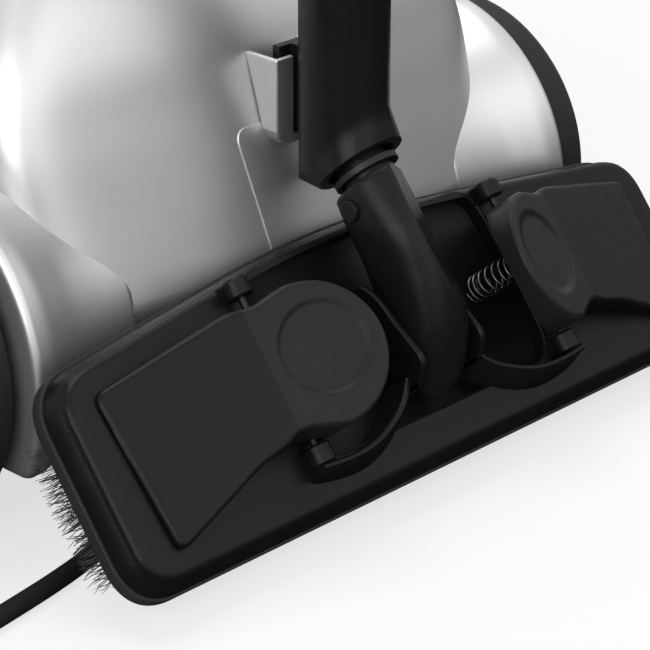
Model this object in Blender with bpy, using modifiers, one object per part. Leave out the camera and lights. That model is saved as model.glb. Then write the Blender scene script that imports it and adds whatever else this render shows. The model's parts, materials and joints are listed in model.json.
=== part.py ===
"""Canister steam cleaner with its floor brush parked on the tail of the machine.

Metres, +Z up. The floor is z = 0 and the brush is parked on the -Y side. X is the width.
"""
import math

import bmesh
import bpy
import numpy as np
from mathutils import Matrix, Vector

for old in list(bpy.data.objects):
    bpy.data.objects.remove(old, do_unlink=True)

# Driving dimensions of the whole machine
GAP = 0.0003                 # air left between two pieces that touch
RUN_GAP = 0.0006             # running clearance round pins and slides
OVERRUN = 0.004              # how far a cutter passes the face that it cuts
ROUND = 24                   # facets of a large turned piece
SMALL_ROUND = 12             # facets of a small turned piece

PLATE_Y = -0.1810            # centre of the parked brush, along the machine
PLATE_Z = 0.068              # and its height over the floor
BRUSH_LEAN = math.radians(51.5)
BRUSH_LENGTH = 0.300
BRUSH_FRONT = 0.0613         # from the middle line to the long lower edge
BRUSH_REAR = 0.0328          # from the middle line to the peak of the upper edge
BRUSH_REAR_DROP = 0.0183     # how much lower the upper edge is at the ends
BRUSH_CORNER = 0.014

WHEEL_RADIUS = 0.063
WHEEL_WIDTH = 0.0185
WHEEL_INNER_X = 0.142
WHEEL_BEHIND_BRUSH = 0.100
WHEEL_Y = PLATE_Y + WHEEL_BEHIND_BRUSH

TUBE_RADIUS = 0.0165
TUBE_BEHIND_BRUSH = 0.0216
TUBE_Y = PLATE_Y + TUBE_BEHIND_BRUSH
TUBE_TOP = 0.560
TUBE_WALL = 0.0016

HOOD_WALL = 0.0026
HOOD_BASE_Z = 0.075
HOOD_BULGE = 0.011           # how far the faces swell between their edges
HOOD_TAIL_BULGE = 0.050
BODY_END_BEHIND_BRUSH = 0.3893
BODY_END_Y = PLATE_Y + BODY_END_BEHIND_BRUSH

CORD_DIAMETER = 0.0070
CORD_RADIUS = CORD_DIAMETER / 2

parts = bpy.data.collections.new("steam_cleaner")
cutters = bpy.data.collections.new("cutters")
bpy.context.scene.collection.children.link(parts)
bpy.context.scene.collection.children.link(cutters)


# Materials
def make_material(name, colour, roughness, metallic=0.0):
    mat = bpy.data.materials.new(name)
    mat.use_nodes = True
    shader = mat.node_tree.nodes["Principled BSDF"]
    shader.inputs["Base Color"].default_value = (*colour, 1.0)
    shader.inputs["Roughness"].default_value = roughness
    shader.inputs["Metallic"].default_value = metallic
    mat.diffuse_color = (*colour, 1.0)
    return mat


SILVER = ((0.56, 0.56, 0.57), 0.34, 0.6)
CHARCOAL = ((0.045, 0.045, 0.048), 0.55)
SATIN_BLACK = ((0.018, 0.018, 0.019), 0.42)
RUBBER = ((0.012, 0.012, 0.012), 0.75)
STEEL = ((0.62, 0.62, 0.63), 0.25, 1.0)
BRASS = ((0.72, 0.52, 0.22), 0.3, 1.0)
COPPER = ((0.75, 0.36, 0.22), 0.32, 1.0)
BOARD = ((0.03, 0.16, 0.07), 0.6)
HAIR = ((0.02, 0.02, 0.02), 0.7)
GREEN = ((0.05, 0.5, 0.12), 0.2)
AMBER = ((0.8, 0.35, 0.03), 0.2)


# Helpers that put pieces in the scene
def add_piece(name, mesh, finish, frame=None, cutter=False):
    obj = bpy.data.objects.new(name, mesh)
    if cutter:
        cutters.objects.link(obj)
        obj.hide_render = True
        obj.display_type = "WIRE"
    else:
        parts.objects.link(obj)
        obj.data.materials.append(make_material(name, *finish))
    if frame is not None:
        obj.matrix_world = frame
    return obj


def smooth(mesh, degrees=35):
    mesh.shade_smooth()
    mesh.set_sharp_from_angle(angle=math.radians(degrees))
    return mesh


def mesh_from(bm, name, soft=True):
    bmesh.ops.recalc_face_normals(bm, faces=bm.faces)
    mesh = bpy.data.meshes.new(name)
    bm.to_mesh(mesh)
    bm.free()
    return smooth(mesh) if soft else mesh


def block(name, size, centre):
    bm = bmesh.new()
    bmesh.ops.create_cube(bm, size=1.0)
    bmesh.ops.transform(bm, matrix=Matrix.Translation(centre) @ Matrix.Diagonal((*size, 1.0)),
                        verts=bm.verts)
    return mesh_from(bm, name, soft=False)


def rod(name, radius, start, end, facets=SMALL_ROUND, end_radius=None):
    """A round bar or cone between two points."""
    start, end = Vector(start), Vector(end)
    run = end - start
    turn = run.to_track_quat("Z", "Y").to_matrix().to_4x4()
    bm = bmesh.new()
    bmesh.ops.create_cone(bm, cap_ends=True, segments=facets, radius1=radius,
                          radius2=radius if end_radius is None else end_radius, depth=run.length)
    bmesh.ops.transform(bm, matrix=Matrix.Translation((start + end) / 2) @ turn, verts=bm.verts)
    return mesh_from(bm, name)


def turned(name, profile, finish, frame, facets=ROUND, cutter=False):
    """A turned piece: (radius, height) down its outer side, spun round local Z."""
    bm = bmesh.new()
    verts = [bm.verts.new((radius, 0.0, height)) for radius, height in profile]
    for one, two in zip(verts, verts[1:]):
        bm.edges.new((one, two))
    closed = profile[0][0] > 0.0 and profile[-1][0] > 0.0
    if closed:
        bm.edges.new((verts[-1], verts[0]))
    mesh = bpy.data.meshes.new(name)
    bm.to_mesh(mesh)
    bm.free()
    obj = add_piece(name, mesh, finish, frame, cutter)
    screw = obj.modifiers.new("turn", "SCREW")
    screw.axis = "Z"
    screw.steps = facets
    screw.render_steps = facets
    screw.use_merge_vertices = True
    screw.merge_threshold = GAP / 10
    screw.use_smooth_shade = True
    return obj


def slab(name, outline, low, high):
    """A flat outline in X and Y, filled and given its thickness between two heights."""
    curve = bpy.data.curves.new(name, "CURVE")
    curve.dimensions = "2D"
    curve.fill_mode = "BOTH"
    curve.extrude = (high - low) / 2
    spline = curve.splines.new("POLY")
    spline.points.add(len(outline) - 1)
    for point, (x, y) in zip(spline.points, outline):
        point.co = (x, y, 0.0, 1.0)
    spline.use_cyclic_u = True
    return bake_curve(name, curve, Matrix.Translation((0.0, 0.0, (low + high) / 2)))


def bake_curve(name, curve, frame=None):
    """Makes a curve a closed mesh, with its loose caps welded on."""
    holder = bpy.data.objects.new(name, curve)
    bpy.context.scene.collection.objects.link(holder)
    bpy.context.view_layer.update()
    graph = bpy.context.evaluated_depsgraph_get()
    mesh = bpy.data.meshes.new_from_object(holder.evaluated_get(graph))
    bpy.data.objects.remove(holder, do_unlink=True)
    bm = bmesh.new()
    bm.from_mesh(mesh)
    bmesh.ops.remove_doubles(bm, verts=bm.verts, dist=GAP / 30)
    if frame is not None:
        bmesh.ops.transform(bm, matrix=frame, verts=bm.verts)
    bmesh.ops.recalc_face_normals(bm, faces=bm.faces)
    bm.to_mesh(mesh)
    bm.free()
    mesh.name = name
    return mesh


def tube_along(name, points, radius, sides_step):
    """A round wire along points; sides_step is the curve's bevel resolution."""
    curve = bpy.data.curves.new(name, "CURVE")
    curve.dimensions = "3D"
    curve.bevel_depth = radius
    curve.bevel_resolution = sides_step
    curve.use_fill_caps = True
    spline = curve.splines.new("POLY")
    spline.points.add(len(points) - 1)
    for point, place in zip(spline.points, points):
        point.co = (*place, 1.0)
    return smooth(bake_curve(name, curve), 50)


def loft(name, rings, soft=True):
    """A closed skin over rings that have equal numbers of points."""
    bm = bmesh.new()
    rows = [[bm.verts.new(point) for point in ring] for ring in rings]
    count = len(rows[0])
    for low, high in zip(rows, rows[1:]):
        for i in range(count):
            j = (i + 1) % count
            bm.faces.new((low[i], low[j], high[j], high[i]))
    bm.faces.new(rows[0])
    bm.faces.new(rows[-1])
    return mesh_from(bm, name, soft)


def boolean(obj, other, operation="DIFFERENCE"):
    mod = obj.modifiers.new(operation.lower(), "BOOLEAN")
    mod.operation = operation
    mod.solver = "EXACT"
    mod.object = other
    return mod


def cut(obj, mesh, frame=None):
    return boolean(obj, add_piece("cutter_" + mesh.name, mesh, None, frame, cutter=True))


def fuse(obj, mesh, frame=None):
    return boolean(obj, add_piece("join_" + mesh.name, mesh, None, frame, cutter=True), "UNION")


def keep_inside(obj, mesh, frame=None):
    return boolean(obj, add_piece("keep_" + mesh.name, mesh, None, frame, cutter=True), "INTERSECT")


def moved_origin(mesh, point):
    """Puts a moving piece's origin on its joint and returns where the object then stands."""
    mesh.transform(Matrix.Translation(-Vector(point)))
    return Matrix.Translation(point)


def fillet_outline(corners, radius, steps=3):
    """Rounds the corners of an outline; radius is one length or one for each corner."""
    points = []
    count = len(corners)
    for i, corner in enumerate(corners):
        here = Vector(corner)
        before = (Vector(corners[i - 1]) - here).normalized()
        after = (Vector(corners[(i + 1) % count]) - here).normalized()
        bend = radius[i] if isinstance(radius, (list, tuple)) else radius
        half = before.angle(after) / 2
        if bend <= 0.0 or half > math.radians(85):
            points.append(tuple(here))
            continue
        reach = bend / math.tan(half)
        centre = here + (before + after).normalized() * (bend / math.sin(half))
        first = here + before * reach - centre
        last = here + after * reach - centre
        for step in range(steps + 1):
            share = step / steps
            spoke = (first * (1 - share) + last * share).normalized() * bend
            points.append(tuple(centre + spoke))
    return points


# The hood: level sections from the floor side up, each given by its half width and its two ends
HOOD_LEVELS = [
    # height over the floor, half width, face behind the brush, tail short of the body's end
    (HOOD_BASE_Z, 0.1160, 0.0350, 0.0030),
    (0.1070, 0.1180, 0.0446, 0.0010),
    (0.1350, 0.1190, 0.0530, 0.0040),
    (0.1600, 0.1120, 0.0610, 0.0120),
    (0.1850, 0.0970, 0.0740, 0.0280),
    (0.2060, 0.0790, 0.0930, 0.0520),
    (0.2200, 0.0610, 0.1130, 0.0760),
]
FACE_POINTS = 8
SIDE_SHARES = (0.25, 0.5, 0.75)
SIDE_BELLY = 0.004


def plan_ring(height, half_width, front, back, bulge, tail_bulge):
    """One level outline: a face that swells forward, straight sides and a round tail."""
    shares = np.linspace(-1.0, 1.0, FACE_POINTS + 1)
    face = [(s * half_width, front + bulge * s * s) for s in shares]
    side = [(half_width + SIDE_BELLY * math.sin(math.pi * s),
             front + bulge + s * (back - tail_bulge - front - bulge)) for s in SIDE_SHARES]
    tail = [(-s * half_width, back - tail_bulge * s * s) for s in shares]
    left = [(-x, y) for x, y in reversed(side)]
    return [(x, y, height) for x, y in face + side + tail + left]


def hood_rings(grow):
    """The hood's outer skin, grown by a length all round."""
    rings = []
    for height, half_width, face, tail in HOOD_LEVELS:
        rings.append(plan_ring(height, half_width + grow, PLATE_Y + face - grow,
                               BODY_END_Y - tail + grow, HOOD_BULGE, HOOD_TAIL_BULGE))
    return rings


def lifted(ring, height):
    return [(x, y, height) for x, y, _ in ring]


PANEL_TOP_Z = 0.1250
PANEL_HALF_TOP = 0.0270
PANEL_HALF_FOOT = 0.0210
PANEL_CORNER = 0.006
PANEL_DEPTH = 0.030


def panel_outline(grow):
    low = HOOD_BASE_Z - OVERRUN
    top = PANEL_TOP_Z + grow
    corners = [(-PANEL_HALF_FOOT - grow, low), (PANEL_HALF_FOOT + grow, low),
               (PANEL_HALF_TOP + grow, top), (-PANEL_HALF_TOP - grow, top)]
    return fillet_outline(corners, [0.0, 0.0, PANEL_CORNER, PANEL_CORNER], 2)


def upright(centre_y):
    """Stands a flat outline up, so that its Y is height and its thickness runs along Y."""
    return Matrix.Translation((0.0, centre_y, 0.0)) @ Matrix.Rotation(math.radians(90), 4, "X")


AXLE_RADIUS = 0.0050
HOOD_TOP_HOLE_REACH = 0.015
DECK_HALF_WIDTH = 0.0585
DECK_FRONT_BEHIND_BRUSH = 0.1160
DECK_TAIL_SHORT = 0.0790
DECK_END_Y = BODY_END_Y - DECK_TAIL_SHORT
DECK_LOW_Z = HOOD_LEVELS[-1][0] + GAP
DECK_TOP_Z = 0.2320
DECK_CROWN = 0.0040
DECK_LIP = 0.0080
SOCKET_RADIUS = 0.0190
SOCKET_BORE = 0.0115
SOCKET_Z = 0.1180
SOCKET_SINK = 0.0300
SOCKET_PROUD = 0.0040


def hood_shell(name, finish):
    """The hood as a wall with an open foot and an open top under the deck."""
    outer = hood_rings(0.0)
    inner = hood_rings(-HOOD_WALL)
    inner[0] = lifted(inner[0], HOOD_BASE_Z - OVERRUN)
    inner[-1] = lifted(inner[-1], HOOD_LEVELS[-1][0] - HOOD_WALL)
    obj = add_piece(name, loft(name, outer), finish)
    cut(obj, loft(name + "_hollow", inner))
    return obj


def build_hood():
    hood = hood_shell("hood", SILVER)
    cut(hood, slab("panel_hole", panel_outline(GAP), -PANEL_DEPTH, PANEL_DEPTH),
        upright(PLATE_Y + PANEL_DEPTH))
    cut(hood, loft("deck_hole", [deck_ring(DECK_LOW_Z - HOOD_TOP_HOLE_REACH, DECK_LIP),
                                 deck_ring(DECK_TOP_Z, DECK_LIP)]))
    cut(hood, rod("hose_hole", SOCKET_RADIUS + GAP, (0.0, BODY_END_Y - SOCKET_SINK * 2, SOCKET_Z),
                  (0.0, BODY_END_Y + SOCKET_SINK, SOCKET_Z), ROUND))
    panel = hood_shell("park_panel", SILVER)
    keep_inside(panel, slab("panel_keep", panel_outline(0.0), -PANEL_DEPTH, PANEL_DEPTH),
                upright(PLATE_Y + PANEL_DEPTH))


def deck_ring(height, inset):
    return plan_ring(height, DECK_HALF_WIDTH - inset, PLATE_Y + DECK_FRONT_BEHIND_BRUSH + inset,
                     DECK_END_Y - inset, HOOD_BULGE, HOOD_TAIL_BULGE)


# The parking pocket: a channel on the hood's face that holds the wand's hook
POCKET_HALF = 0.0140
POCKET_WALL = 0.0024
POCKET_FRONT_BEHIND_BRUSH = 0.0415
POCKET_LOW_Z = 0.1170
POCKET_TOP_Z = 0.1500
POCKET_SLOT_HALF = 0.0050
POCKET_DEPTH = 0.0300
POCKET_FLOOR = 0.0030
POCKET_CORNER = 0.0060
HOOK_WEB_HALF = 0.0035
HOOK_FLANGE_HALF = 0.0095
HOOK_FLANGE_THICK = 0.0036
HOOK_TOP_Z = 0.1535
HOOK_LOW_Z = POCKET_LOW_Z + POCKET_FLOOR + GAP


def build_pocket():
    front = PLATE_Y + POCKET_FRONT_BEHIND_BRUSH
    low, high = POCKET_LOW_Z, POCKET_TOP_Z
    outline = fillet_outline([(-POCKET_HALF, low), (POCKET_HALF, low), (POCKET_HALF, high),
                              (-POCKET_HALF, high)], [POCKET_CORNER, POCKET_CORNER, 0.0, 0.0], 3)
    pocket = add_piece("park_pocket", slab("park_pocket", outline, -POCKET_DEPTH / 2, POCKET_DEPTH / 2),
                       SILVER,
                       upright(front + POCKET_DEPTH / 2))
    hollow_height = high - low - POCKET_FLOOR + OVERRUN
    hollow_size = (2 * (POCKET_HALF - POCKET_WALL), POCKET_DEPTH, hollow_height)
    cut(pocket, block("pocket_hollow", hollow_size, (0.0, front + POCKET_WALL + POCKET_DEPTH / 2,
                                                     low + POCKET_FLOOR + hollow_height / 2)))
    cut(pocket, block("pocket_slot", (2 * POCKET_SLOT_HALF, POCKET_WALL * 4, hollow_height),
                      (0.0, front, low + POCKET_FLOOR + hollow_height / 2)))
    cut(pocket, loft("pocket_fit", hood_rings(GAP)))


# The fenders: half drums round the wheels that grow out of the hood
FENDER_RADIUS = 0.0700
FENDER_WALL = 0.0028
FENDER_OUTER_X = 0.1390
FENDER_INNER_X = 0.0850
# The drum's outline from its outer face inwards: (distance from the middle, radius)
FENDER_TAPER = [(0.1300, 0.0690), (0.1220, 0.0662), (0.1120, 0.0630), (0.1000, 0.0610),
                (FENDER_INNER_X, 0.0600)]
FENDER_FOOT_Z = 0.0300
FENDER_HUB_HOLE = AXLE_RADIUS + RUN_GAP


def build_fender(name, side):
    turn = Matrix.Translation((0.0, WHEEL_Y, WHEEL_RADIUS)) @ Matrix.Rotation(math.radians(90) * side, 4,
                                                                              "Y")
    inner_face = FENDER_OUTER_X - FENDER_WALL
    outside = [(0.0, FENDER_OUTER_X), (FENDER_RADIUS, FENDER_OUTER_X)] + [(r, x) for x, r in FENDER_TAPER]
    inside = [(r - FENDER_WALL, x) for x, r in reversed(FENDER_TAPER)]
    profile = outside + inside + [(FENDER_RADIUS - FENDER_WALL, inner_face), (0.0, inner_face)]
    fender = turned(name, profile, SILVER, turn, 32)
    depth = 2 * FENDER_RADIUS
    cut(fender, block(name + "_foot", (2 * depth, 2 * depth, depth),
                      (side * FENDER_OUTER_X, WHEEL_Y, FENDER_FOOT_Z - depth / 2)))
    cut(fender, rod(name + "_axle_hole", FENDER_HUB_HOLE, (side * FENDER_INNER_X, WHEEL_Y, WHEEL_RADIUS),
                    (side * (FENDER_OUTER_X + OVERRUN), WHEEL_Y, WHEEL_RADIUS)))
    envelope = hood_rings(GAP)
    base_edge = base_ring(HOOD_BASE_Z + GAP, GAP)
    cut(fender, loft(name + "_hood_fit", envelope))
    cut(fender, loft(name + "_base_fit", [base_ring(BASE_FOOT_Z - OVERRUN, GAP), base_edge]))
    return fender


# The base tray under the hood
BASE_FOOT_Z = 0.0300
BASE_HALF_WIDTH = 0.1148
BASE_FRONT_BEHIND_BRUSH = 0.0480
BASE_TAIL_SHORT = 0.0045
BASE_WALL = 0.0030
BASE_FLOOR = 0.0032
BASE_TOP_Z = HOOD_BASE_Z - GAP
BEARING_HALF = 0.0110
BEARING_WIDTH = 0.0140
CASTER_BEFORE_TAIL = 0.0493
CASTER_Y = BODY_END_Y - CASTER_BEFORE_TAIL
CASTER_STEM_RADIUS = 0.0050


def base_ring(height, grow):
    return plan_ring(height, BASE_HALF_WIDTH + grow, PLATE_Y + BASE_FRONT_BEHIND_BRUSH - grow,
                     BODY_END_Y - BASE_TAIL_SHORT + grow, HOOD_BULGE, HOOD_TAIL_BULGE)


def build_base():
    base = add_piece("base_tray", loft("base_tray",
                                       [base_ring(BASE_FOOT_Z, 0.0), base_ring(BASE_TOP_Z, 0.0)]), CHARCOAL)
    hollow = [base_ring(BASE_FOOT_Z + BASE_FLOOR, -BASE_WALL), base_ring(BASE_TOP_Z + OVERRUN, -BASE_WALL)]
    cut(base, loft("base_hollow", hollow))
    for side in (-1, 1):
        centre = (side * (BASE_HALF_WIDTH - BEARING_WIDTH / 2), WHEEL_Y,
                  (BASE_FOOT_Z + WHEEL_RADIUS + BEARING_HALF) / 2)
        height = WHEEL_RADIUS + BEARING_HALF - BASE_FOOT_Z - BASE_FLOOR / 2
        fuse(base, block(f"bearing_block_{side}", (BEARING_WIDTH, 2 * BEARING_HALF, height), centre))
    cut(base, rod("axle_bore", AXLE_RADIUS + RUN_GAP, (-FENDER_OUTER_X, WHEEL_Y, WHEEL_RADIUS),
                  (FENDER_OUTER_X, WHEEL_Y, WHEEL_RADIUS)))
    cut(base, rod("caster_bore", CASTER_STEM_RADIUS + RUN_GAP, (0.0, CASTER_Y, 0.0),
                  (0.0, CASTER_Y, BASE_FOOT_Z * 2)))
    cradle_y, low = PLATE_Y + CRADLE_BEHIND_BRUSH, BASE_FOOT_Z + BASE_FLOOR / 2
    fuse(base, block("boiler_cradle", (2 * CRADLE_HALF_WIDTH, CRADLE_LENGTH, CRADLE_TOP_Z - low),
                     (0.0, cradle_y, (CRADLE_TOP_Z + low) / 2)))
    cut(base, rod("cradle_saddle", BOILER_RADIUS + GAP, (0.0, cradle_y - CRADLE_LENGTH, BOILER_Z),
                  (0.0, cradle_y + CRADLE_LENGTH, BOILER_Z), TANK_ROUND))


# Wheels, axle and hub caps
TYRE_EDGE = 0.0040
WHEEL_WEB_INSET = 0.0050
WHEEL_RIM = 0.0460
WHEEL_HUB = 0.0150
HUBCAP_RADIUS = 0.0430
HUBCAP_DOME = 0.0060
HUBCAP_EDGE = 0.0018
AXLE_END_GAP = 0.0004


def side_frame(side, x=0.0):
    """A frame whose Z axis points out of the machine's side, with the wheel axle as its line."""
    return (Matrix.Translation((side * x, WHEEL_Y, WHEEL_RADIUS))
            @ Matrix.Rotation(math.radians(90) * side, 4, "Y"))


def build_wheel(side_name, side):
    width, web = WHEEL_WIDTH, WHEEL_WEB_INSET
    bore = AXLE_RADIUS + RUN_GAP
    spacer = FENDER_OUTER_X + GAP - WHEEL_INNER_X
    profile = [(bore, width - web), (WHEEL_RIM, width - web), (WHEEL_RIM, width),
               (WHEEL_RADIUS - TYRE_EDGE, width), (WHEEL_RADIUS, width - TYRE_EDGE),
               (WHEEL_RADIUS, TYRE_EDGE), (WHEEL_RADIUS - TYRE_EDGE, 0.0), (WHEEL_RIM, 0.0),
               (WHEEL_RIM, web), (WHEEL_HUB, web), (WHEEL_HUB, spacer), (bore, spacer)]
    turned(side_name + "_wheel", profile, CHARCOAL, side_frame(side, WHEEL_INNER_X), ROUND)
    seat = WHEEL_WIDTH - WHEEL_WEB_INSET + GAP
    cap = [(0.0, seat + HUBCAP_DOME), (HUBCAP_RADIUS / 2, seat + HUBCAP_DOME * 5 / 6),
           (HUBCAP_RADIUS, seat + HUBCAP_EDGE), (HUBCAP_RADIUS, seat), (0.0, seat)]
    turned(side_name + "_hubcap", cap, SILVER, side_frame(side, WHEEL_INNER_X), ROUND)


def build_axle():
    reach = WHEEL_INNER_X + WHEEL_WIDTH - WHEEL_WEB_INSET - AXLE_END_GAP
    add_piece("axle", rod("axle", AXLE_RADIUS, (-reach, WHEEL_Y, WHEEL_RADIUS),
                          (reach, WHEEL_Y, WHEEL_RADIUS)), STEEL)


# The swivelling caster under the far end
CASTER_WHEEL_RADIUS = 0.0115
CASTER_WHEEL_HALF = 0.0060
CASTER_TRAIL = 0.0040
CASTER_CHEEK = 0.0022
CASTER_PLATE = 0.0022
CASTER_HALF_LENGTH = 0.0090
CASTER_PIN_RADIUS = 0.0016


def build_caster():
    top = BASE_FOOT_Z - RUN_GAP
    bottom = CASTER_WHEEL_RADIUS - CASTER_PIN_RADIUS * 2
    outer = CASTER_WHEEL_HALF + RUN_GAP + CASTER_CHEEK
    fork = add_piece("caster_fork", block("caster_fork", (2 * outer, 2 * CASTER_HALF_LENGTH, top - bottom),
                                          (0.0, CASTER_Y, (top + bottom) / 2)), SATIN_BLACK)
    arch_top = CASTER_WHEEL_RADIUS * 2 + RUN_GAP
    cheek_gap = 2 * (CASTER_WHEEL_HALF + RUN_GAP)
    slot_height = arch_top - bottom + OVERRUN
    cut(fork, block("caster_slot", (cheek_gap, 4 * CASTER_HALF_LENGTH, slot_height),
                    (0.0, CASTER_Y, top - CASTER_PLATE - slot_height / 2)))
    fuse(fork, rod("caster_stem", CASTER_STEM_RADIUS, (0.0, CASTER_Y, top - CASTER_PLATE / 2),
                   (0.0, CASTER_Y, BASE_FOOT_Z + BASE_FLOOR + OVERRUN)))
    ends = ((-outer, CASTER_Y + CASTER_TRAIL, CASTER_WHEEL_RADIUS),
            (outer, CASTER_Y + CASTER_TRAIL, CASTER_WHEEL_RADIUS))
    cut(fork, rod("caster_pin_hole", CASTER_PIN_RADIUS + GAP, *[(x * 2, y, z) for x, y, z in ends], 8))
    add_piece("caster_pin", rod("caster_pin", CASTER_PIN_RADIUS, *ends, 8), STEEL)
    half = CASTER_WHEEL_HALF
    profile = [(CASTER_WHEEL_RADIUS, half), (CASTER_WHEEL_RADIUS, -half),
               (CASTER_PIN_RADIUS + RUN_GAP, -half), (CASTER_PIN_RADIUS + RUN_GAP, half)]
    place = Matrix.Translation((0.0, CASTER_Y + CASTER_TRAIL,
                                CASTER_WHEEL_RADIUS)) @ Matrix.Rotation(math.radians(90), 4, "Y")
    turned("caster_wheel", profile, CHARCOAL, place, 16)


# Deck, handle, filler and controls on top
HANDLE_FRONT_BEHIND_BRUSH = 0.1640
HANDLE_BACK_BEHIND_BRUSH = 0.2560
HANDLE_TOP_Z = 0.2790
HANDLE_RADIUS = 0.0100
HANDLE_BEND = 0.0180
FILLER_BEHIND_BRUSH = 0.1370
FILLER_Y = PLATE_Y + FILLER_BEHIND_BRUSH
FILLER_RADIUS = 0.0110
FILLER_BORE = 0.0080
FILLER_FLANGE = 0.0130
FILLER_RIM = 0.0030
SEAL_THICK = 0.0020
CAP_RADIUS = 0.0145
CAP_HEIGHT = 0.0200
CAP_GRIPS = 12
CAP_GRIP_RADIUS = 0.0016
DIAL_BEFORE_DECK_END = 0.0253
DIAL_Y = DECK_END_Y - DIAL_BEFORE_DECK_END
DIAL_RADIUS = 0.0105
DIAL_HEIGHT = 0.0090
DIAL_STEM = 0.0030
DIAL_POINTER = 0.0024
SWITCH_X = 0.0290
SWITCH_BEFORE_DIAL = 0.0140
SWITCH_Y = DIAL_Y - SWITCH_BEFORE_DIAL
SWITCH_HALF_WIDTH = 0.0060
SWITCH_HALF_LENGTH = 0.0095
SWITCH_RISE = 0.0022
SWITCH_DEPTH = 0.0060
SWITCH_CLEAR = 0.0010
SWITCH_THROW = math.radians(7)
LAMP_X = 0.0150
LAMP_BEFORE_DECK_END = 0.0143
LAMP_Y = DECK_END_Y - LAMP_BEFORE_DECK_END
LAMP_RADIUS = 0.0026
LAMP_RISE = 0.0014


def build_deck():
    deck = add_piece("top_deck", loft("top_deck", [deck_ring(DECK_LOW_Z, 0.0),
                                                   deck_ring(DECK_TOP_Z - DECK_CROWN, 0.0),
                                                   deck_ring(DECK_TOP_Z, DECK_CROWN)]), CHARCOAL)
    deep = DECK_LOW_Z - OVERRUN
    high = DECK_TOP_Z + OVERRUN
    cut(deck, rod("filler_hole", FILLER_RADIUS + GAP, (0.0, FILLER_Y, deep), (0.0, FILLER_Y, high), ROUND))
    cut(deck, rod("dial_hole", DIAL_STEM + RUN_GAP, (0.0, DIAL_Y, deep), (0.0, DIAL_Y, high)))
    for side in (-1, 1):
        centre = (side * SWITCH_X, SWITCH_Y, (deep + high) / 2)
        size = (2 * (SWITCH_HALF_WIDTH + RUN_GAP), 2 * (SWITCH_HALF_LENGTH + SWITCH_CLEAR), high - deep)
        cut(deck, block(f"switch_hole_{side}", size, centre))
        lamp = (side * LAMP_X, LAMP_Y)
        cut(deck, rod(f"lamp_hole_{side}", LAMP_RADIUS + GAP, (*lamp, deep), (*lamp, high)))


def build_handle():
    front, back = PLATE_Y + HANDLE_FRONT_BEHIND_BRUSH, PLATE_Y + HANDLE_BACK_BEHIND_BRUSH
    foot = DECK_TOP_Z + GAP
    path = [(front, foot), (front, HANDLE_TOP_Z - HANDLE_BEND)]
    for y, turn in ((front + HANDLE_BEND, 180), (back - HANDLE_BEND, 90)):
        for step in range(1, 5):
            angle = math.radians(turn - step * 90 / 4)
            path.append((y + HANDLE_BEND * math.cos(angle),
                         HANDLE_TOP_Z - HANDLE_BEND + HANDLE_BEND * math.sin(angle)))
    path.append((back, foot))
    points = [(0.0, y, z) for y, z in path]
    add_piece("carry_handle", tube_along("carry_handle", points, HANDLE_RADIUS, 2), CHARCOAL)


def build_filler():
    stand = Matrix.Translation((0.0, FILLER_Y, 0.0))
    low = BOILER_Z + BOILER_RADIUS + GAP
    profile = [(FILLER_RADIUS, DECK_TOP_Z + FILLER_RIM), (FILLER_RADIUS, low + FILLER_RIM),
               (FILLER_FLANGE, low + FILLER_RIM), (FILLER_FLANGE, low), (FILLER_BORE, low),
               (FILLER_BORE, DECK_TOP_Z + FILLER_RIM)]
    turned("filler_neck", profile, BRASS, stand, 16)
    top = DECK_TOP_Z + GAP + CAP_HEIGHT
    clear = FILLER_RADIUS + RUN_GAP
    seat = DECK_TOP_Z + FILLER_RIM + GAP
    roof = seat + SEAL_THICK + GAP
    turned("cap_seal", [(FILLER_RADIUS, seat + SEAL_THICK), (FILLER_RADIUS, seat), (FILLER_BORE, seat),
                        (FILLER_BORE, seat + SEAL_THICK)], RUBBER, stand, 16)
    profile = [(0.0, top), (CAP_RADIUS - CAP_GRIP_RADIUS, top), (CAP_RADIUS, top - CAP_GRIP_RADIUS),
               (CAP_RADIUS, DECK_TOP_Z + GAP), (clear, DECK_TOP_Z + GAP), (clear, roof), (0.0, roof)]
    cap = turned("filler_cap", profile, SATIN_BLACK, stand, ROUND)
    for grip in range(CAP_GRIPS):
        angle = 2 * math.pi * grip / CAP_GRIPS
        spot = (CAP_RADIUS * math.cos(angle), FILLER_Y + CAP_RADIUS * math.sin(angle))
        if grip % 3 == 0:
            cut(cap, rod(f"cap_flute_{grip}", CAP_GRIP_RADIUS * 2, (*spot, top - CAP_HEIGHT / 2),
                         (*spot, top + OVERRUN), 6))


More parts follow.
